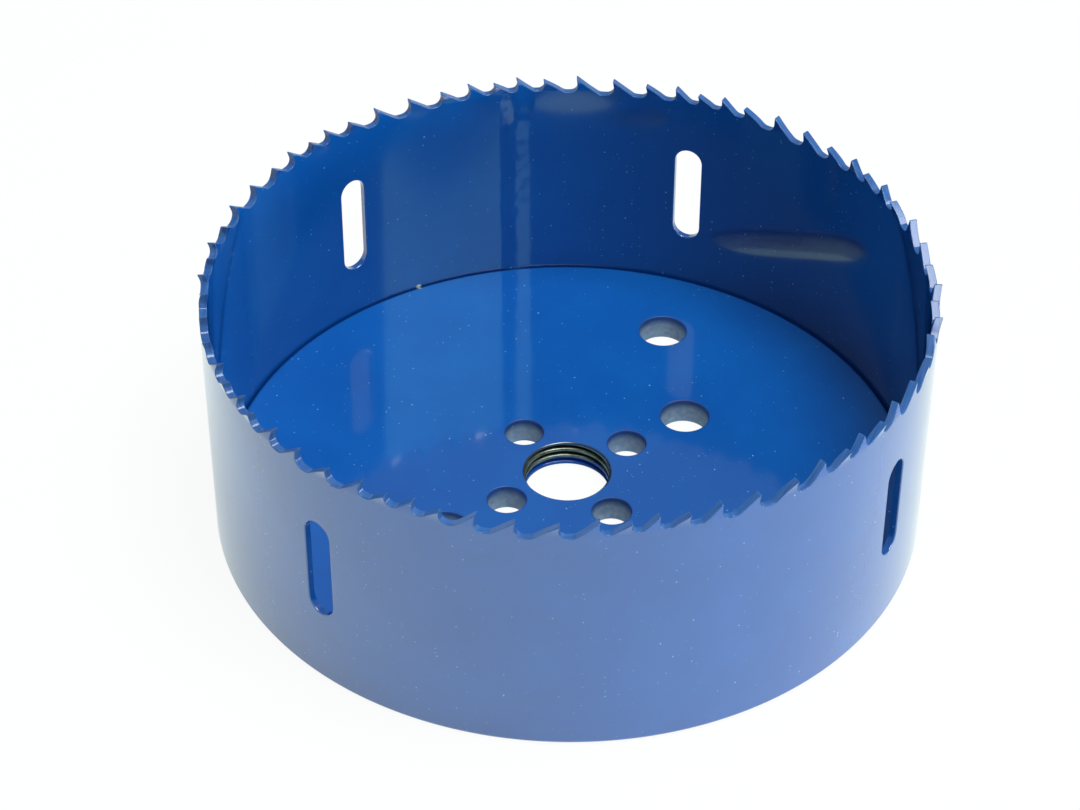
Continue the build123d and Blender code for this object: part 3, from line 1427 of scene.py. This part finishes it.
        # Near the teeth a point is kept only where it lies well below the rim.
        crowded = grid[:, 1] > self.bend_height - self.crowded_drop
        rim_height = np.interp(grid[:, 0], top[::-1, 0], top[::-1, 1])
        clear &= ~(crowded & (grid[:, 1] > rim_height - self.rim_clearance))
        return triangulate([outline, *slots], grid[clear])

    # ---- mesh

    def wear_at(self, height: np.ndarray, reach: float) -> np.ndarray:
        """Returns the tooth wear at heights: none this far below the tips, and all of it at them."""
        return self.tooth_wear * np.clip((height - (self.height - reach)) / reach, 0.0, 1.0)

    def rounded_edge(self, draft: Draft, edge: Edge, radius: float, finish: Finish) -> None:
        """Adds the strip's edge along one outline, rounded over to both faces.

        Args:
            draft: The wall's draft.
            edge: The outline.
            radius: The radius between edge and face.
            finish: The edge's finish. A worked edge wears towards the tooth tips.
        """
        quarter = rounding(radius, 0.0, 90.0, stations=4)
        start_flat, end_flat = edge.corner_normals()
        points, starts, ends, worn = [], [], [], []
        for side, stations in ((Side.OUTER, quarter), (Side.INNER, quarter[::-1])):
            for sunk, inward, angle in stations:
                inset = edge.inset(inward)
                if edge.closed:
                    inset = np.vstack((inset, inset[:1]))
                along, height = inset[:, 0], inset[:, 1]
                depth = sunk if side is Side.OUTER else self.thickness - sunk
                points.append(self.roll(along, height, depth))
                face = math.cos(angle) * self.face_normals(along, height, side)
                starts.append(unit(face[:-1] + math.sin(angle) * self.in_plane(along[:-1], start_flat)))
                ends.append(unit(face[1:] + math.sin(angle) * self.in_plane(along[1:], end_flat)))
                wears = self.wear_at(height, self.edge_wear_reach)
                worn.append(wears if finish is Finish.WORKED else np.zeros(len(height)))
        points, starts, ends, worn = (np.array(rows)[::-1] for rows in (points, starts, ends, worn))
        draft.add_grid(points, starts, ends, finish, worn)

    def rounded_foot(self, draft: Draft) -> None:
        """Adds the strip's lower edge, rounded well over outside and a little inside.

        Args:
            draft: The wall's draft.
        """
        columns = self.column_positions()
        outside = rounding(self.foot_rounding, 0.0, 90.0, stations=9)
        inside = rounding(self.inner_foot_rounding, 90.0, 0.0, stations=5)
        stations = [(level, depth, turn, Side.OUTER) for depth, level, turn in outside]
        stations += [(level, self.thickness - depth, turn, Side.INNER) for depth, level, turn in inside]
        stations.append((self.foot_rounding, self.thickness, 0.0, Side.INNER))
        points, normals = [], []
        down = np.tile((0.0, 0.0, -1.0), (len(columns), 1))
        for level, depth, turn, side in stations:
            height = np.full(len(columns), level)
            points.append(self.roll(columns, height, depth))
            face = self.face_normals(columns, height, side)
            normals.append(unit(math.cos(turn) * face + math.sin(turn) * down))
        draft.add_smooth_grid(points[::-1], normals[::-1])

    def build(self) -> bpy.types.Object:
        """Builds and dresses the wall.

        Returns:
            The finished piece.
        """
        draft = Draft()
        teeth = Edge(self.tooth_outline(), closed=False)
        slots = [Edge(outline, closed=True) for outline in self.slot_outlines()]
        flat, triangles = self.flat_skin(
            teeth.inset(self.tooth_rounding), [slot.inset(self.slot_rounding) for slot in slots],
        )
        along, height = flat[:, 0], flat[:, 1]
        skins = ((Side.OUTER, 0.0, triangles), (Side.INNER, self.thickness, flipped(triangles)))
        for side, depth, order in skins:
            draft.add_triangles(
                self.roll(along, height, depth), self.face_normals(along, height, side), order,
                self.wear_at(height, self.face_wear_reach),
            )
        self.rounded_edge(draft, teeth, self.tooth_rounding, Finish.WORKED)
        for slot in slots:
            self.rounded_edge(draft, slot, self.slot_rounding, Finish.OPENING)
        self.rounded_foot(draft)
        return draft.build("toothed_wall_enamelled", [OPEN_FACE, SLOT_WALL, TOOTH_EDGE], "toothed_wall")


# --------------------------------------------------------------------------- the back plate


@dataclass(frozen=True)
class RoundHole:
    """A round hole through the back plate.

    Attributes:
        radius: The wall's radius.
        circle_radius: The distance of the hole's middle from the plate's middle.
        angle: The direction of the hole's middle, in degrees.
        top_rounding: The radius of the upper edge.
        bottom_rounding: The radius of the lower edge.
        spans: How many straight spans go round it.
    """

    radius: float
    circle_radius: float = 0.0
    angle: float = 0.0
    top_rounding: float = 0.25
    bottom_rounding: float = 0.15
    spans: int = 72

    def middle(self) -> np.ndarray:
        """Returns the hole's middle."""
        return self.circle_radius * spokes(math.radians(self.angle))

    def circle(self, radius: float) -> np.ndarray:
        """Returns a clockwise circle of this radius about the hole's middle."""
        return self.middle() + radius * spokes(-FULL_TURN * np.arange(self.spans) / self.spans)


@dataclass
class BackPlate:
    """The thick disc that closes the cup, with the arbor thread, drive pin holes and knock-out holes."""

    radius: float = 58.65
    thickness: float = 4.75
    rim_rounding: float = 0.6
    weld_bevel: float = 1.5
    rim_spans: int = 288
    # The arbor thread; its pitch is that of 18 turns to the inch.
    thread_minor_radius: float = 7.2
    thread_major_radius: float = 7.85
    thread_pitch: float = 25.4 / 18.0
    thread_flank_angle: float = 30.0
    thread_crest_share: float = 0.62
    thread_phase: float = 0.814
    thread_mouth_radius: float = 7.4
    thread_run_out: float = 0.9
    thread_spans: int = 216
    thread_row: float = 0.06
    # The lips that lead into the thread, and how dark the painted shade ring on the upper one is at its two
    # edges.
    mouth_rounding: float = 0.25
    mouth_slope: float = 1.05
    lip_rows: int = 6
    lip_shade: tuple[float, float] = (0.95, 0.9)
    # Plain holes.
    pin_radius: float = 3.3
    pin_circle_radius: float = 12.7
    pin_count: int = 4
    knockout_radius: float = 4.2
    knockout_places: tuple[Place, ...] = ((25.4, 0.0), (25.4, 180.0), (42.75, 30.0), (42.75, 210.0))
    # The flat faces' mesh, and the least distance of an inner point from the rim and from a hole.
    face_spacing: float = 2.4
    rim_clearance: float = 1.2
    hole_clearance: float = 0.9

    def holes(self) -> list[RoundHole]:
        """Returns every plain hole through the plate."""
        pins = [(self.pin_circle_radius, 360.0 * index / self.pin_count) for index in range(self.pin_count)]
        return [
            RoundHole(radius, reach, angle)
            for radius, places in ((self.pin_radius, pins), (self.knockout_radius, self.knockout_places))
            for reach, angle in places
        ]

    def arbor(self) -> RoundHole:
        """Returns the threaded hole's own circle."""
        lip = self.mouth_rounding
        return RoundHole(
            self.thread_mouth_radius, top_rounding=lip, bottom_rounding=lip, spans=self.thread_spans,
        )

    def flat_face(self, draft: Draft, height: float, rim: float, top: bool) -> None:
        """Adds one flat face of the plate, with its holes left open.

        Args:
            draft: The plate's draft.
            height: The face's height.
            rim: The radius of the face's rim.
            top: Whether this is the upper face.
        """
        loops = [rim * spokes(FULL_TURN * np.arange(self.rim_spans) / self.rim_spans)]
        # Every other row of inner points is shifted by half a space.
        steps = np.arange(-rim, rim, self.face_spacing)
        shift = self.face_spacing / 2.0
        grid = np.array([(x + shift * (row % 2), y) for row, y in enumerate(steps) for x in steps])
        grid = grid[np.linalg.norm(grid, axis=1) < rim - self.rim_clearance]
        clear = np.ones(len(grid), bool)
        for hole in (self.arbor(), *self.holes()):
            radius = hole.radius + (hole.top_rounding if top else hole.bottom_rounding)
            loops.append(hole.circle(radius))
            clear &= np.linalg.norm(grid - hole.middle(), axis=1) > radius + self.hole_clearance
        flat, triangles = triangulate(loops, grid[clear])
        direction = (0.0, 0.0, 1.0 if top else -1.0)
        order = triangles if top else flipped(triangles)
        draft.add_triangles(at_level(flat, height), np.tile(direction, (len(flat), 1)), order)

    def hole_wall(self, draft: Draft, hole: RoundHole) -> None:
        """Adds a plain hole's wall with its rounded upper and lower edges.

        Args:
            draft: The plate's draft.
            hole: The hole.
        """
        stations = [
            (outward, self.thickness - down, turn)
            for outward, down, turn in rounding(hole.top_rounding, 90.0, 0.0, stations=6)
        ]
        straight = np.linspace(self.thickness - hole.top_rounding, hole.bottom_rounding, 6)[1:-1]
        stations += [(0.0, level, 0.0) for level in straight]
        stations += [
            (outward, up, -turn)
            for outward, up, turn in rounding(hole.bottom_rounding, 0.0, 90.0, stations=5)
        ]
        points, normals = [], []
        for outward, level, turn in stations:
            ring = hole.circle(hole.radius + outward)
            ring = np.vstack((ring, ring[:1]))
            points.append(at_level(ring, level))
            normals.append(at_level(-unit(ring - hole.middle()) * math.cos(turn), math.sin(turn)))
        draft.add_smooth_grid(points[::-1], normals[::-1], Finish.OPENING)

    def thread_radius(self, turn: np.ndarray, height: np.ndarray) -> np.ndarray:
        """Gives the tapped hole's radius: a right-hand 60 degree thread with flat crests and roots.

        Args:
            turn: Angles round the hole, in radians.
            height: Heights over the back face.

        Returns:
            The radius at each place, with the mouths opened out.
        """
        along = (height / self.thread_pitch - turn / FULL_TURN + self.thread_phase) % 1.0
        fold = np.abs(along - 0.5) * 2.0
        from_mouth = np.minimum(height, self.thickness - height)
        full = np.clip(from_mouth / self.thread_run_out, 0.0, 1.0)
        depth = self.thread_major_radius - self.thread_minor_radius
        flank = depth * math.tan(math.radians(self.thread_flank_angle)) * 2.0 / self.thread_pitch
        crest = (1.0 - flank) * self.thread_crest_share
        rise = np.clip((fold - (1.0 - flank - crest)) / flank, 0.0, 1.0)
        groove = (1.0 - ease(rise)) * full * (2.0 - full)
        mouth = self.thread_mouth_radius - from_mouth * self.mouth_slope
        return np.maximum(self.thread_minor_radius + depth * groove, mouth)

    def thread_lip(self, turns: np.ndarray, top: bool) -> tuple[list[np.ndarray], list[np.ndarray]]:
        """Rounds one mouth of the thread over.

        Args:
            turns: The angles round the hole.
            top: Whether this is the upper mouth.

        Returns:
            The rows of points and of normals, from the flat face to the thread.
        """
        lip, spoke, sign = self.mouth_rounding, spokes(turns), 1.0 if top else -1.0
        first_turn = self.thread_radius(turns, np.full_like(turns, self.thickness - lip if top else lip))
        points, normals = [], []
        for outward, down, turn in rounding(lip, 90.0, 15.0, self.lip_rows):
            # The wavy thread becomes a true circle on its way to the face.
            blend = turn / (math.pi / 2.0)
            radius = (first_turn + outward) * (1.0 - blend) + (self.thread_mouth_radius + lip) * blend
            points.append(at_level(radius[:, None] * spoke, self.thickness - down if top else down))
            normals.append(at_level(-spoke * math.cos(turn), sign * math.sin(turn)))
        return points, normals

    def thread_wall(self, draft: Draft) -> None:
        """Adds the arbor thread and the lips that lead into it.

        Args:
            draft: The plate's draft.
        """
        turns = -FULL_TURN * np.arange(self.thread_spans + 1) / self.thread_spans
        lip, rows, step = self.mouth_rounding, self.lip_rows, 0.01
        groove_depth = self.thread_major_radius - self.thread_minor_radius
        spoke = spokes(turns)
        side = np.stack((-spoke[:, 1], spoke[:, 0]), axis=1)
        points, normals = self.thread_lip(turns, top=True)
        depths = []
        row_count = int((self.thickness - 2 * lip) / self.thread_row) + 1
        for level in np.linspace(self.thickness - lip, lip, row_count):
            height = np.full_like(turns, level)
            radius = self.thread_radius(turns, height)
            rise = self.thread_radius(turns, height + step) - self.thread_radius(turns, height - step)
            sweep = self.thread_radius(turns + step, height) - self.thread_radius(turns - step, height)
            flat = -spoke + side * (sweep / (2 * step) / radius)[:, None]
            points.append(np.column_stack((radius[:, None] * spoke, height)))
            normals.append(unit(np.column_stack((flat, rise / (2 * step)))))
            depths.append((radius - self.thread_minor_radius) / groove_depth)
        low_points, low_normals = self.thread_lip(turns, top=False)
        grid = np.array(points + low_points[::-1])[::-1]
        shading = np.array(normals + low_normals[::-1])[::-1]
        # The thread's own points carry the depth of its groove as their wear, which paints shade into the
        # roots.
        lip_shade = np.linspace(*self.lip_shade, rows + 1)[:, None] * np.ones(grid.shape[1])
        draft.add_smooth_grid(grid[:rows + 1], shading[:rows + 1])
        draft.add_smooth_grid(grid[rows:-rows], shading[rows:-rows], Finish.WORKED, np.array(depths)[::-1])
        # The upper lip's layer paints a dark ring of shade in the open faces' edge colour.
        draft.add_smooth_grid(grid[-rows - 1:], shading[-rows - 1:], wear=lip_shade[::-1])

    def rim(self, draft: Draft) -> None:
        """Adds the plate's rim: a rounded top edge, a straight side and the weld bevel.

        Args:
            draft: The plate's draft.
        """
        spoke = spokes(FULL_TURN * np.arange(self.rim_spans + 1) / self.rim_spans)
        stations = [
            (self.radius - inward, self.thickness - down, turn)
            for inward, down, turn in rounding(self.rim_rounding, 90.0, 0.0, stations=6)
        ]
        stations.append((self.radius, self.weld_bevel, 0.0))
        points = [at_level(radius * spoke, level) for radius, level, _ in stations]
        normals = [at_level(spoke * math.cos(turn), math.sin(turn)) for *_, turn in stations]
        draft.add_smooth_grid(points[::-1], normals[::-1])
        foot = at_level((self.radius - self.weld_bevel) * spoke, 0.0)
        draft.add_smooth_grid([foot, points[-1]], [at_level(spoke, -1.0)] * 2)

    def build(self) -> bpy.types.Object:
        """Builds and dresses the plate.

        Returns:
            The finished piece.
        """
        draft = Draft()
        self.flat_face(draft, self.thickness, self.radius - self.rim_rounding, top=True)
        self.flat_face(draft, 0.0, self.radius - self.weld_bevel, top=False)
        self.rim(draft)
        self.thread_wall(draft)
        for hole in self.holes():
            self.hole_wall(draft, hole)
        return draft.build("back_plate_enamelled", [OPEN_FACE, HOLE_WALL, THREAD], "back_plate")


# --------------------------------------------------------------------------- the weld


@dataclass
class PlateWeld:
    """The bead that joins the plate's bevel to the wall, laid from below."""

    inner_radius: float = 57.35
    outer_radius: float = 58.7
    low: float = 0.2
    high: float = 1.5
    crown: float = 0.30
    ripple_spacing: float = 1.3
    ripple_height: float = 0.09
    edge_ripple: float = 0.35
    ripple_bow: float = 2.2
    swell_height: float = 0.03
    swell_rate: float = 6.0
    swell_drift: float = 3.0
    inner_edge: float = 0.05
    across_spans: int = 8
    spans: int = 1440

    def level(self, share: float, turns: np.ndarray) -> np.ndarray:
        """Gives the bead's height: rippled, bowed across its width, and swelling a little round the plate.

        Args:
            share: The place across the bead, from 0 inside to 1 outside.
            turns: Angles round the plate, in radians.

        Returns:
            The heights over the back face.
        """
        ripples = round(FULL_TURN * self.outer_radius / self.ripple_spacing)
        swell = np.array([smooth_noise(x, y, 2.0) for x, y in self.swell_rate * spokes(turns)])
        off_middle = (2.0 * share - 1.0) ** 2
        bow = 1.0 - off_middle
        phase = turns * ripples - self.ripple_bow * off_middle + swell * self.swell_drift
        fullness = self.edge_ripple + (1.0 - self.edge_ripple) * bow
        wave = self.ripple_height * (0.5 + 0.5 * np.cos(phase)) * fullness
        return self.low + self.crown - self.crown * bow + wave + self.swell_height * (1.0 + swell)

    def build(self) -> bpy.types.Object:
        """Builds and dresses the bead.

        Returns:
            The finished piece.
        """
        draft = Draft()
        turns = FULL_TURN * np.arange(self.spans + 1) / self.spans
        spoke = spokes(turns)
        side = np.stack((-spoke[:, 1], spoke[:, 0]), axis=1)
        width = self.outer_radius - self.inner_radius
        points, normals = [], []
        turn_step, share_step = 0.002, 0.01
        for share in np.linspace(0.0, 1.0, self.across_spans + 1):
            height = self.level(share, turns)
            # The plate's bevel slopes at 45 degrees, so the bead's inner edge moves out as it rises.
            inward = self.inner_radius + (height - self.low)
            radius = inward + (self.outer_radius - inward) * share
            outer, inner = min(1.0, share + share_step), max(0.0, share - share_step)
            lift = (self.level(outer, turns) - self.level(inner, turns)) / (2 * share_step * width)
            sweep = self.level(share, turns + turn_step) - self.level(share, turns - turn_step)
            sweep = sweep / (2 * turn_step * self.outer_radius)
            points.append(np.column_stack((radius[:, None] * spoke, height)))
            normals.append(unit(at_level(spoke * lift[:, None] + side * sweep[:, None], -1.0)))
        draft.add_smooth_grid(points, normals)
        inner_top = at_level((self.outer_radius - self.inner_edge) * spoke, self.high)
        outer_top = at_level(self.outer_radius * spoke, self.high)
        for edges, normal in (
            ((inner_top, points[0]), unit(at_level(-spoke, 1.0))),
            ((points[-1], outer_top), at_level(spoke, 0.0)),
            ((outer_top, inner_top), at_level(np.zeros_like(spoke), 1.0)),
        ):
            draft.add_smooth_grid(edges, [normal] * 2)
        return draft.build("plate_weld_enamelled", [WELD_COAT], "plate_weld")


# --------------------------------------------------------------------------- the studio


@dataclass(frozen=True)
class SoftBox:
    """A rectangular studio lamp with a white or tinted diffuser.

    Attributes:
        name: The lamp's name.
        azimuth: The direction it stands in, in degrees from +X.
        elevation: Its height over the horizon, in degrees.
        distance: How far it stands from the cup, in mm.
        width: The diffuser's width, in mm.
        height: The diffuser's height, in mm.
        power: The light it gives, in watts.
        colour: The diffuser's colour.
    """

    name: str
    azimuth: float
    elevation: float
    distance: float
    width: float
    height: float
    power: float
    colour: str = "#FFFFFF"

    def build(self, aim: Vector) -> bpy.types.Object:
        """Hangs the lamp and turns it to the cup.

        Args:
            aim: The point it faces, in metres.

        Returns:
            The lamp.
        """
        light = bpy.data.lights.new(self.name, "AREA")
        light.shape = "RECTANGLE"
        light.size, light.size_y = self.width * MM, self.height * MM
        light.energy = self.power
        light.color = linear_colour(self.colour)[:3]
        lamp = bpy.data.objects.new(self.name, light)
        azimuth, elevation = math.radians(self.azimuth), math.radians(self.elevation)
        ground = spokes(azimuth) * math.cos(elevation)
        away = Vector((*ground, math.sin(elevation)))
        lamp.location = aim + away * self.distance * MM
        lamp.rotation_euler = away.to_track_quat("Z", "Y").to_euler()
        bpy.context.scene.collection.objects.link(lamp)
        return lamp


@dataclass(frozen=True)
class StudioCamera:
    """A camera that looks down into the cup.

    Attributes:
        ground_distance: The distance over the ground from the cup's middle, in mm.
        height: The height over the floor, in mm.
        azimuth: The direction it stands in, in degrees from +X.
        pan: How far it turns to the right of the middle, in radians.
        tilt: How far it looks down, in radians.
        roll: How far it leans about its own axis, in radians.
        focal_share: The focal length as a share of the image's width.
        sensor: The sensor's width, in mm.
        clip: The nearest and the farthest thing that shows, in metres.
    """

    ground_distance: float = 378.52
    height: float = 330.345
    azimuth: float = -126.4986
    pan: float = -0.0124
    tilt: float = 0.6879
    roll: float = 0.0021
    focal_share: float = 2918.44 / 1080.0
    sensor: float = 36.0
    clip: tuple[float, float] = (0.01, 50.0)

    def build(self) -> bpy.types.Object:
        """Places the camera and makes it the scene's own.

        Returns:
            The camera.
        """
        data = bpy.data.cameras.new("studio_camera")
        data.sensor_fit = "HORIZONTAL"
        data.sensor_width = self.sensor
        data.lens = self.focal_share * self.sensor
        data.clip_start, data.clip_end = self.clip
        turn = Matrix.Rotation(math.radians(self.azimuth + 90.0), 3, "Z")
        right_share, ahead_share = math.sin(self.pan), math.cos(self.pan)
        level, down = math.cos(self.tilt), math.sin(self.tilt)
        ahead = turn @ Vector((right_share * level, ahead_share * level, -down))
        right = turn @ Vector((ahead_share, -right_share, 0.0))
        up = right.cross(ahead)
        leaned_right = math.cos(self.roll) * right + math.sin(self.roll) * up
        leaned_up = -math.sin(self.roll) * right + math.cos(self.roll) * up
        basis = Matrix((leaned_right, leaned_up, -ahead)).transposed().to_4x4()
        place = turn @ Vector((0.0, -self.ground_distance, self.height)) * MM
        camera = bpy.data.objects.new("studio_camera", data)
        camera.matrix_world = Matrix.Translation(place) @ basis
        bpy.context.scene.collection.objects.link(camera)
        bpy.context.scene.camera = camera
        return camera


@dataclass
class Studio:
    """A pale floor, soft lamps, a pale world and the camera.

    Attributes:
        floor_half_width: Half the floor's side, in mm.
        floor_drop: How far it lies below the cup, which keeps the two apart, in mm.
        floor_colour: The card's colour.
        floor_glow: How white the card shows to the camera; the rest shows the cup's shadow.
        bright_side: The side where the card is brightest in a reflection, in degrees.
        mirrored_glow: Its brightness in a reflection, on the dim side and on the bright side.
        mirrored_reach: Where the dim side ends and the bright side begins, in mm.
        mirrored_white: Its white in a reflection.
        shade_radius: The radius of the cup's own shade on the card, in mm.
        shade_white: The card's white in that shade.
        world_grey: The room above the backdrop.
        ceiling_grey: The room's ceiling.
        ceiling_band: The heights, as shares of straight up, over which the room becomes the ceiling.
        horizon_band: The heights over which the backdrop ends for the light on the cup.
        mirrored_band: The heights over which it ends in a reflection.
        horizon_white: The backdrop's white.
        aim_height: The height that the lamps face, in mm.
        lamps: The soft lamps.
    """

    floor_half_width: float = 9000.0
    floor_drop: float = 0.06
    floor_colour: str = "#E9F3F3"
    floor_glow: float = 0.93
    bright_side: float = -36.5
    mirrored_glow: tuple[float, float] = (0.56, 1.0)
    mirrored_reach: tuple[float, float] = (-115.0, 45.0)
    mirrored_white: str = "#F1FCFB"
    shade_radius: float = 57.0
    shade_white: str = "#93BCC8"
    world_grey: str = "#6C7174"
    ceiling_grey: str = "#54585A"
    ceiling_band: tuple[float, float] = (0.70, 0.85)
    horizon_band: tuple[float, float] = (0.04, 0.18)
    mirrored_band: tuple[float, float] = (0.32, 0.50)
    horizon_white: str = "#E9F3F4"
    aim_height: float = 20.0
    lamps: tuple[SoftBox, ...] = (
        SoftBox("side_softbox", -82.0, 49.0, 1000.0, 675.0, 490.0, 1.75, "#B4FFF4"),
        SoftBox("top_softbox", -62.0, 75.5, 1100.0, 640.0, 640.0, 13.3),
        SoftBox("low_softbox", -48.0, 4.0, 1000.0, 900.0, 120.0, 4.6),
    )

    def rays(self, tree: bpy.types.NodeTree) -> tuple[Wire, Wire]:
        """Tells the kinds of ray apart, so that the camera and reflections see a white background.

        Args:
            tree: The nodes of the floor or the world.

        Returns:
            A mask for the camera's own rays, and one for mirrored and refracted rays.
        """
        path = add_node(tree, "LightPath").outputs
        mirrored = add_node(
            tree, "Math", {0: path["Is Glossy Ray"], 1: path["Is Transmission Ray"]}, operation="MAXIMUM",
        )
        return path["Is Camera Ray"], mirrored

    def card(self) -> bpy.types.Material:
        """Builds matt white card, which shows as plain white with the cup's soft shadow on it.

        Returns:
            The finished material.
        """
        material = new_material("matt_white_card")
        tree = material.node_tree
        seen, mirrored = self.rays(tree)
        # The card's glow falls off to the side where the cup's shadow lies, away from the low lamp.
        place = add_node(tree, "TexCoord").outputs["Object"]
        (start, end), (dim, full) = self.mirrored_reach, self.mirrored_glow
        across = reach_toward(tree, place, self.bright_side)
        mirrored_share = add_node(tree, "MapRange", {
            "Value": across, "From Min": start * MM, "From Max": end * MM, "To Min": dim, "To Max": full,
        }, interpolation_type="SMOOTHSTEP")
        # Under the cup the card lies in the cup's own blue shade.
        reach = add_node(tree, "VectorMath", {0: place}, operation="LENGTH")
        shaded = add_node(tree, "Math", {0: reach, 1: self.shade_radius * MM}, operation="LESS_THAN")
        mirrored_white = add_node(tree, "Mix", {
            "Factor": shaded, "A": linear_colour(self.mirrored_white), "B": linear_colour(self.shade_white),
        }, data_type="RGBA")
        surface = add_node(tree, "BsdfDiffuse", {"Color": linear_colour(self.floor_colour)})
        glows = ((mirrored, mirrored_white, mirrored_share), (seen, WHITE, self.floor_glow))
        for ray, white, share in glows:
            glow = add_node(tree, "Emission", {"Color": white, "Strength": 1.0})
            part = add_node(tree, "Math", {0: ray, 1: share}, operation="MULTIPLY")
            surface = add_node(tree, "MixShader", {0: part, 1: surface, 2: glow})
        add_node(tree, "OutputMaterial", {"Surface": surface})
        return material

    def build_floor(self) -> bpy.types.Object:
        """Lays the floor.

        Returns:
            The floor.
        """
        half = self.floor_half_width * MM
        mesh = bpy.data.meshes.new("studio_floor")
        corners = [(x * half, y * half, 0.0) for x, y in ((-1, -1), (1, -1), (1, 1), (-1, 1))]
        mesh.from_pydata(corners, [], [(0, 1, 2, 3)])
        floor = bpy.data.objects.new("studio_floor", mesh)
        floor.location.z = -self.floor_drop * MM
        mesh.materials.append(self.card())
        bpy.context.scene.collection.objects.link(floor)
        return floor

    def build_world(self) -> None:
        """Makes the room: white to the camera, and to all other light pale low down and grey above."""
        world = bpy.data.worlds.new("studio_world")
        world.use_nodes = True
        tree = world.node_tree
        tree.nodes.clear()
        direction = add_node(tree, "TexCoord").outputs["Generated"]
        rise = add_node(tree, "SeparateXYZ", {"Vector": direction}).outputs["Z"]
        seen, mirrored = self.rays(tree)
        # Each mask is 1 under its band and fades to 0 across it.
        below_ceiling, lit_horizon, mirrored_horizon = (
            add_node(tree, "MapRange", {
                "Value": rise, "From Min": start, "From Max": end, "To Min": 1.0, "To Max": 0.0,
            })
            for start, end in (self.ceiling_band, self.horizon_band, self.mirrored_band)
        )
        # Mirrors show the white backdrop up to where it ends; less of it lights the cup.
        horizon = add_node(
            tree, "Mix", {"Factor": mirrored, "A": lit_horizon, "B": mirrored_horizon}, data_type="FLOAT",
        )
        room: Wire | tuple = linear_colour(self.ceiling_grey)
        for share, shade in ((below_ceiling, self.world_grey), (horizon, self.horizon_white)):
            room = add_node(
                tree, "Mix", {"Factor": share, "A": room, "B": linear_colour(shade)}, data_type="RGBA",
            )
        around = add_node(tree, "Background", {"Color": room, "Strength": 1.0})
        white = add_node(tree, "Background", {"Color": WHITE, "Strength": 1.0})
        mixed = add_node(tree, "MixShader", {0: seen, 1: around, 2: white})
        add_node(tree, "OutputWorld", {"Surface": mixed})
        bpy.context.scene.world = world

    def build(self) -> None:
        """Sets up the floor, the lamps, the world, the camera and a plain view of their colours."""
        StudioCamera().build()
        self.build_floor()
        self.build_world()
        aim = Vector((0.0, 0.0, self.aim_height)) * MM
        for lamp in self.lamps:
            lamp.build(aim)
        bpy.context.scene.view_settings.view_transform = "Standard"
        LOG.info("studio: floor, %d lamps, camera", len(self.lamps))


def main() -> None:
    """Builds the studio and the hole saw's pieces in order."""
    logging.basicConfig(level=logging.INFO, format="%(message)s")
    Studio().build()
    for assembly in (ToothedWall(), BackPlate(), PlateWeld()):
        assembly.build()


if __name__ == "__main__":
    main()
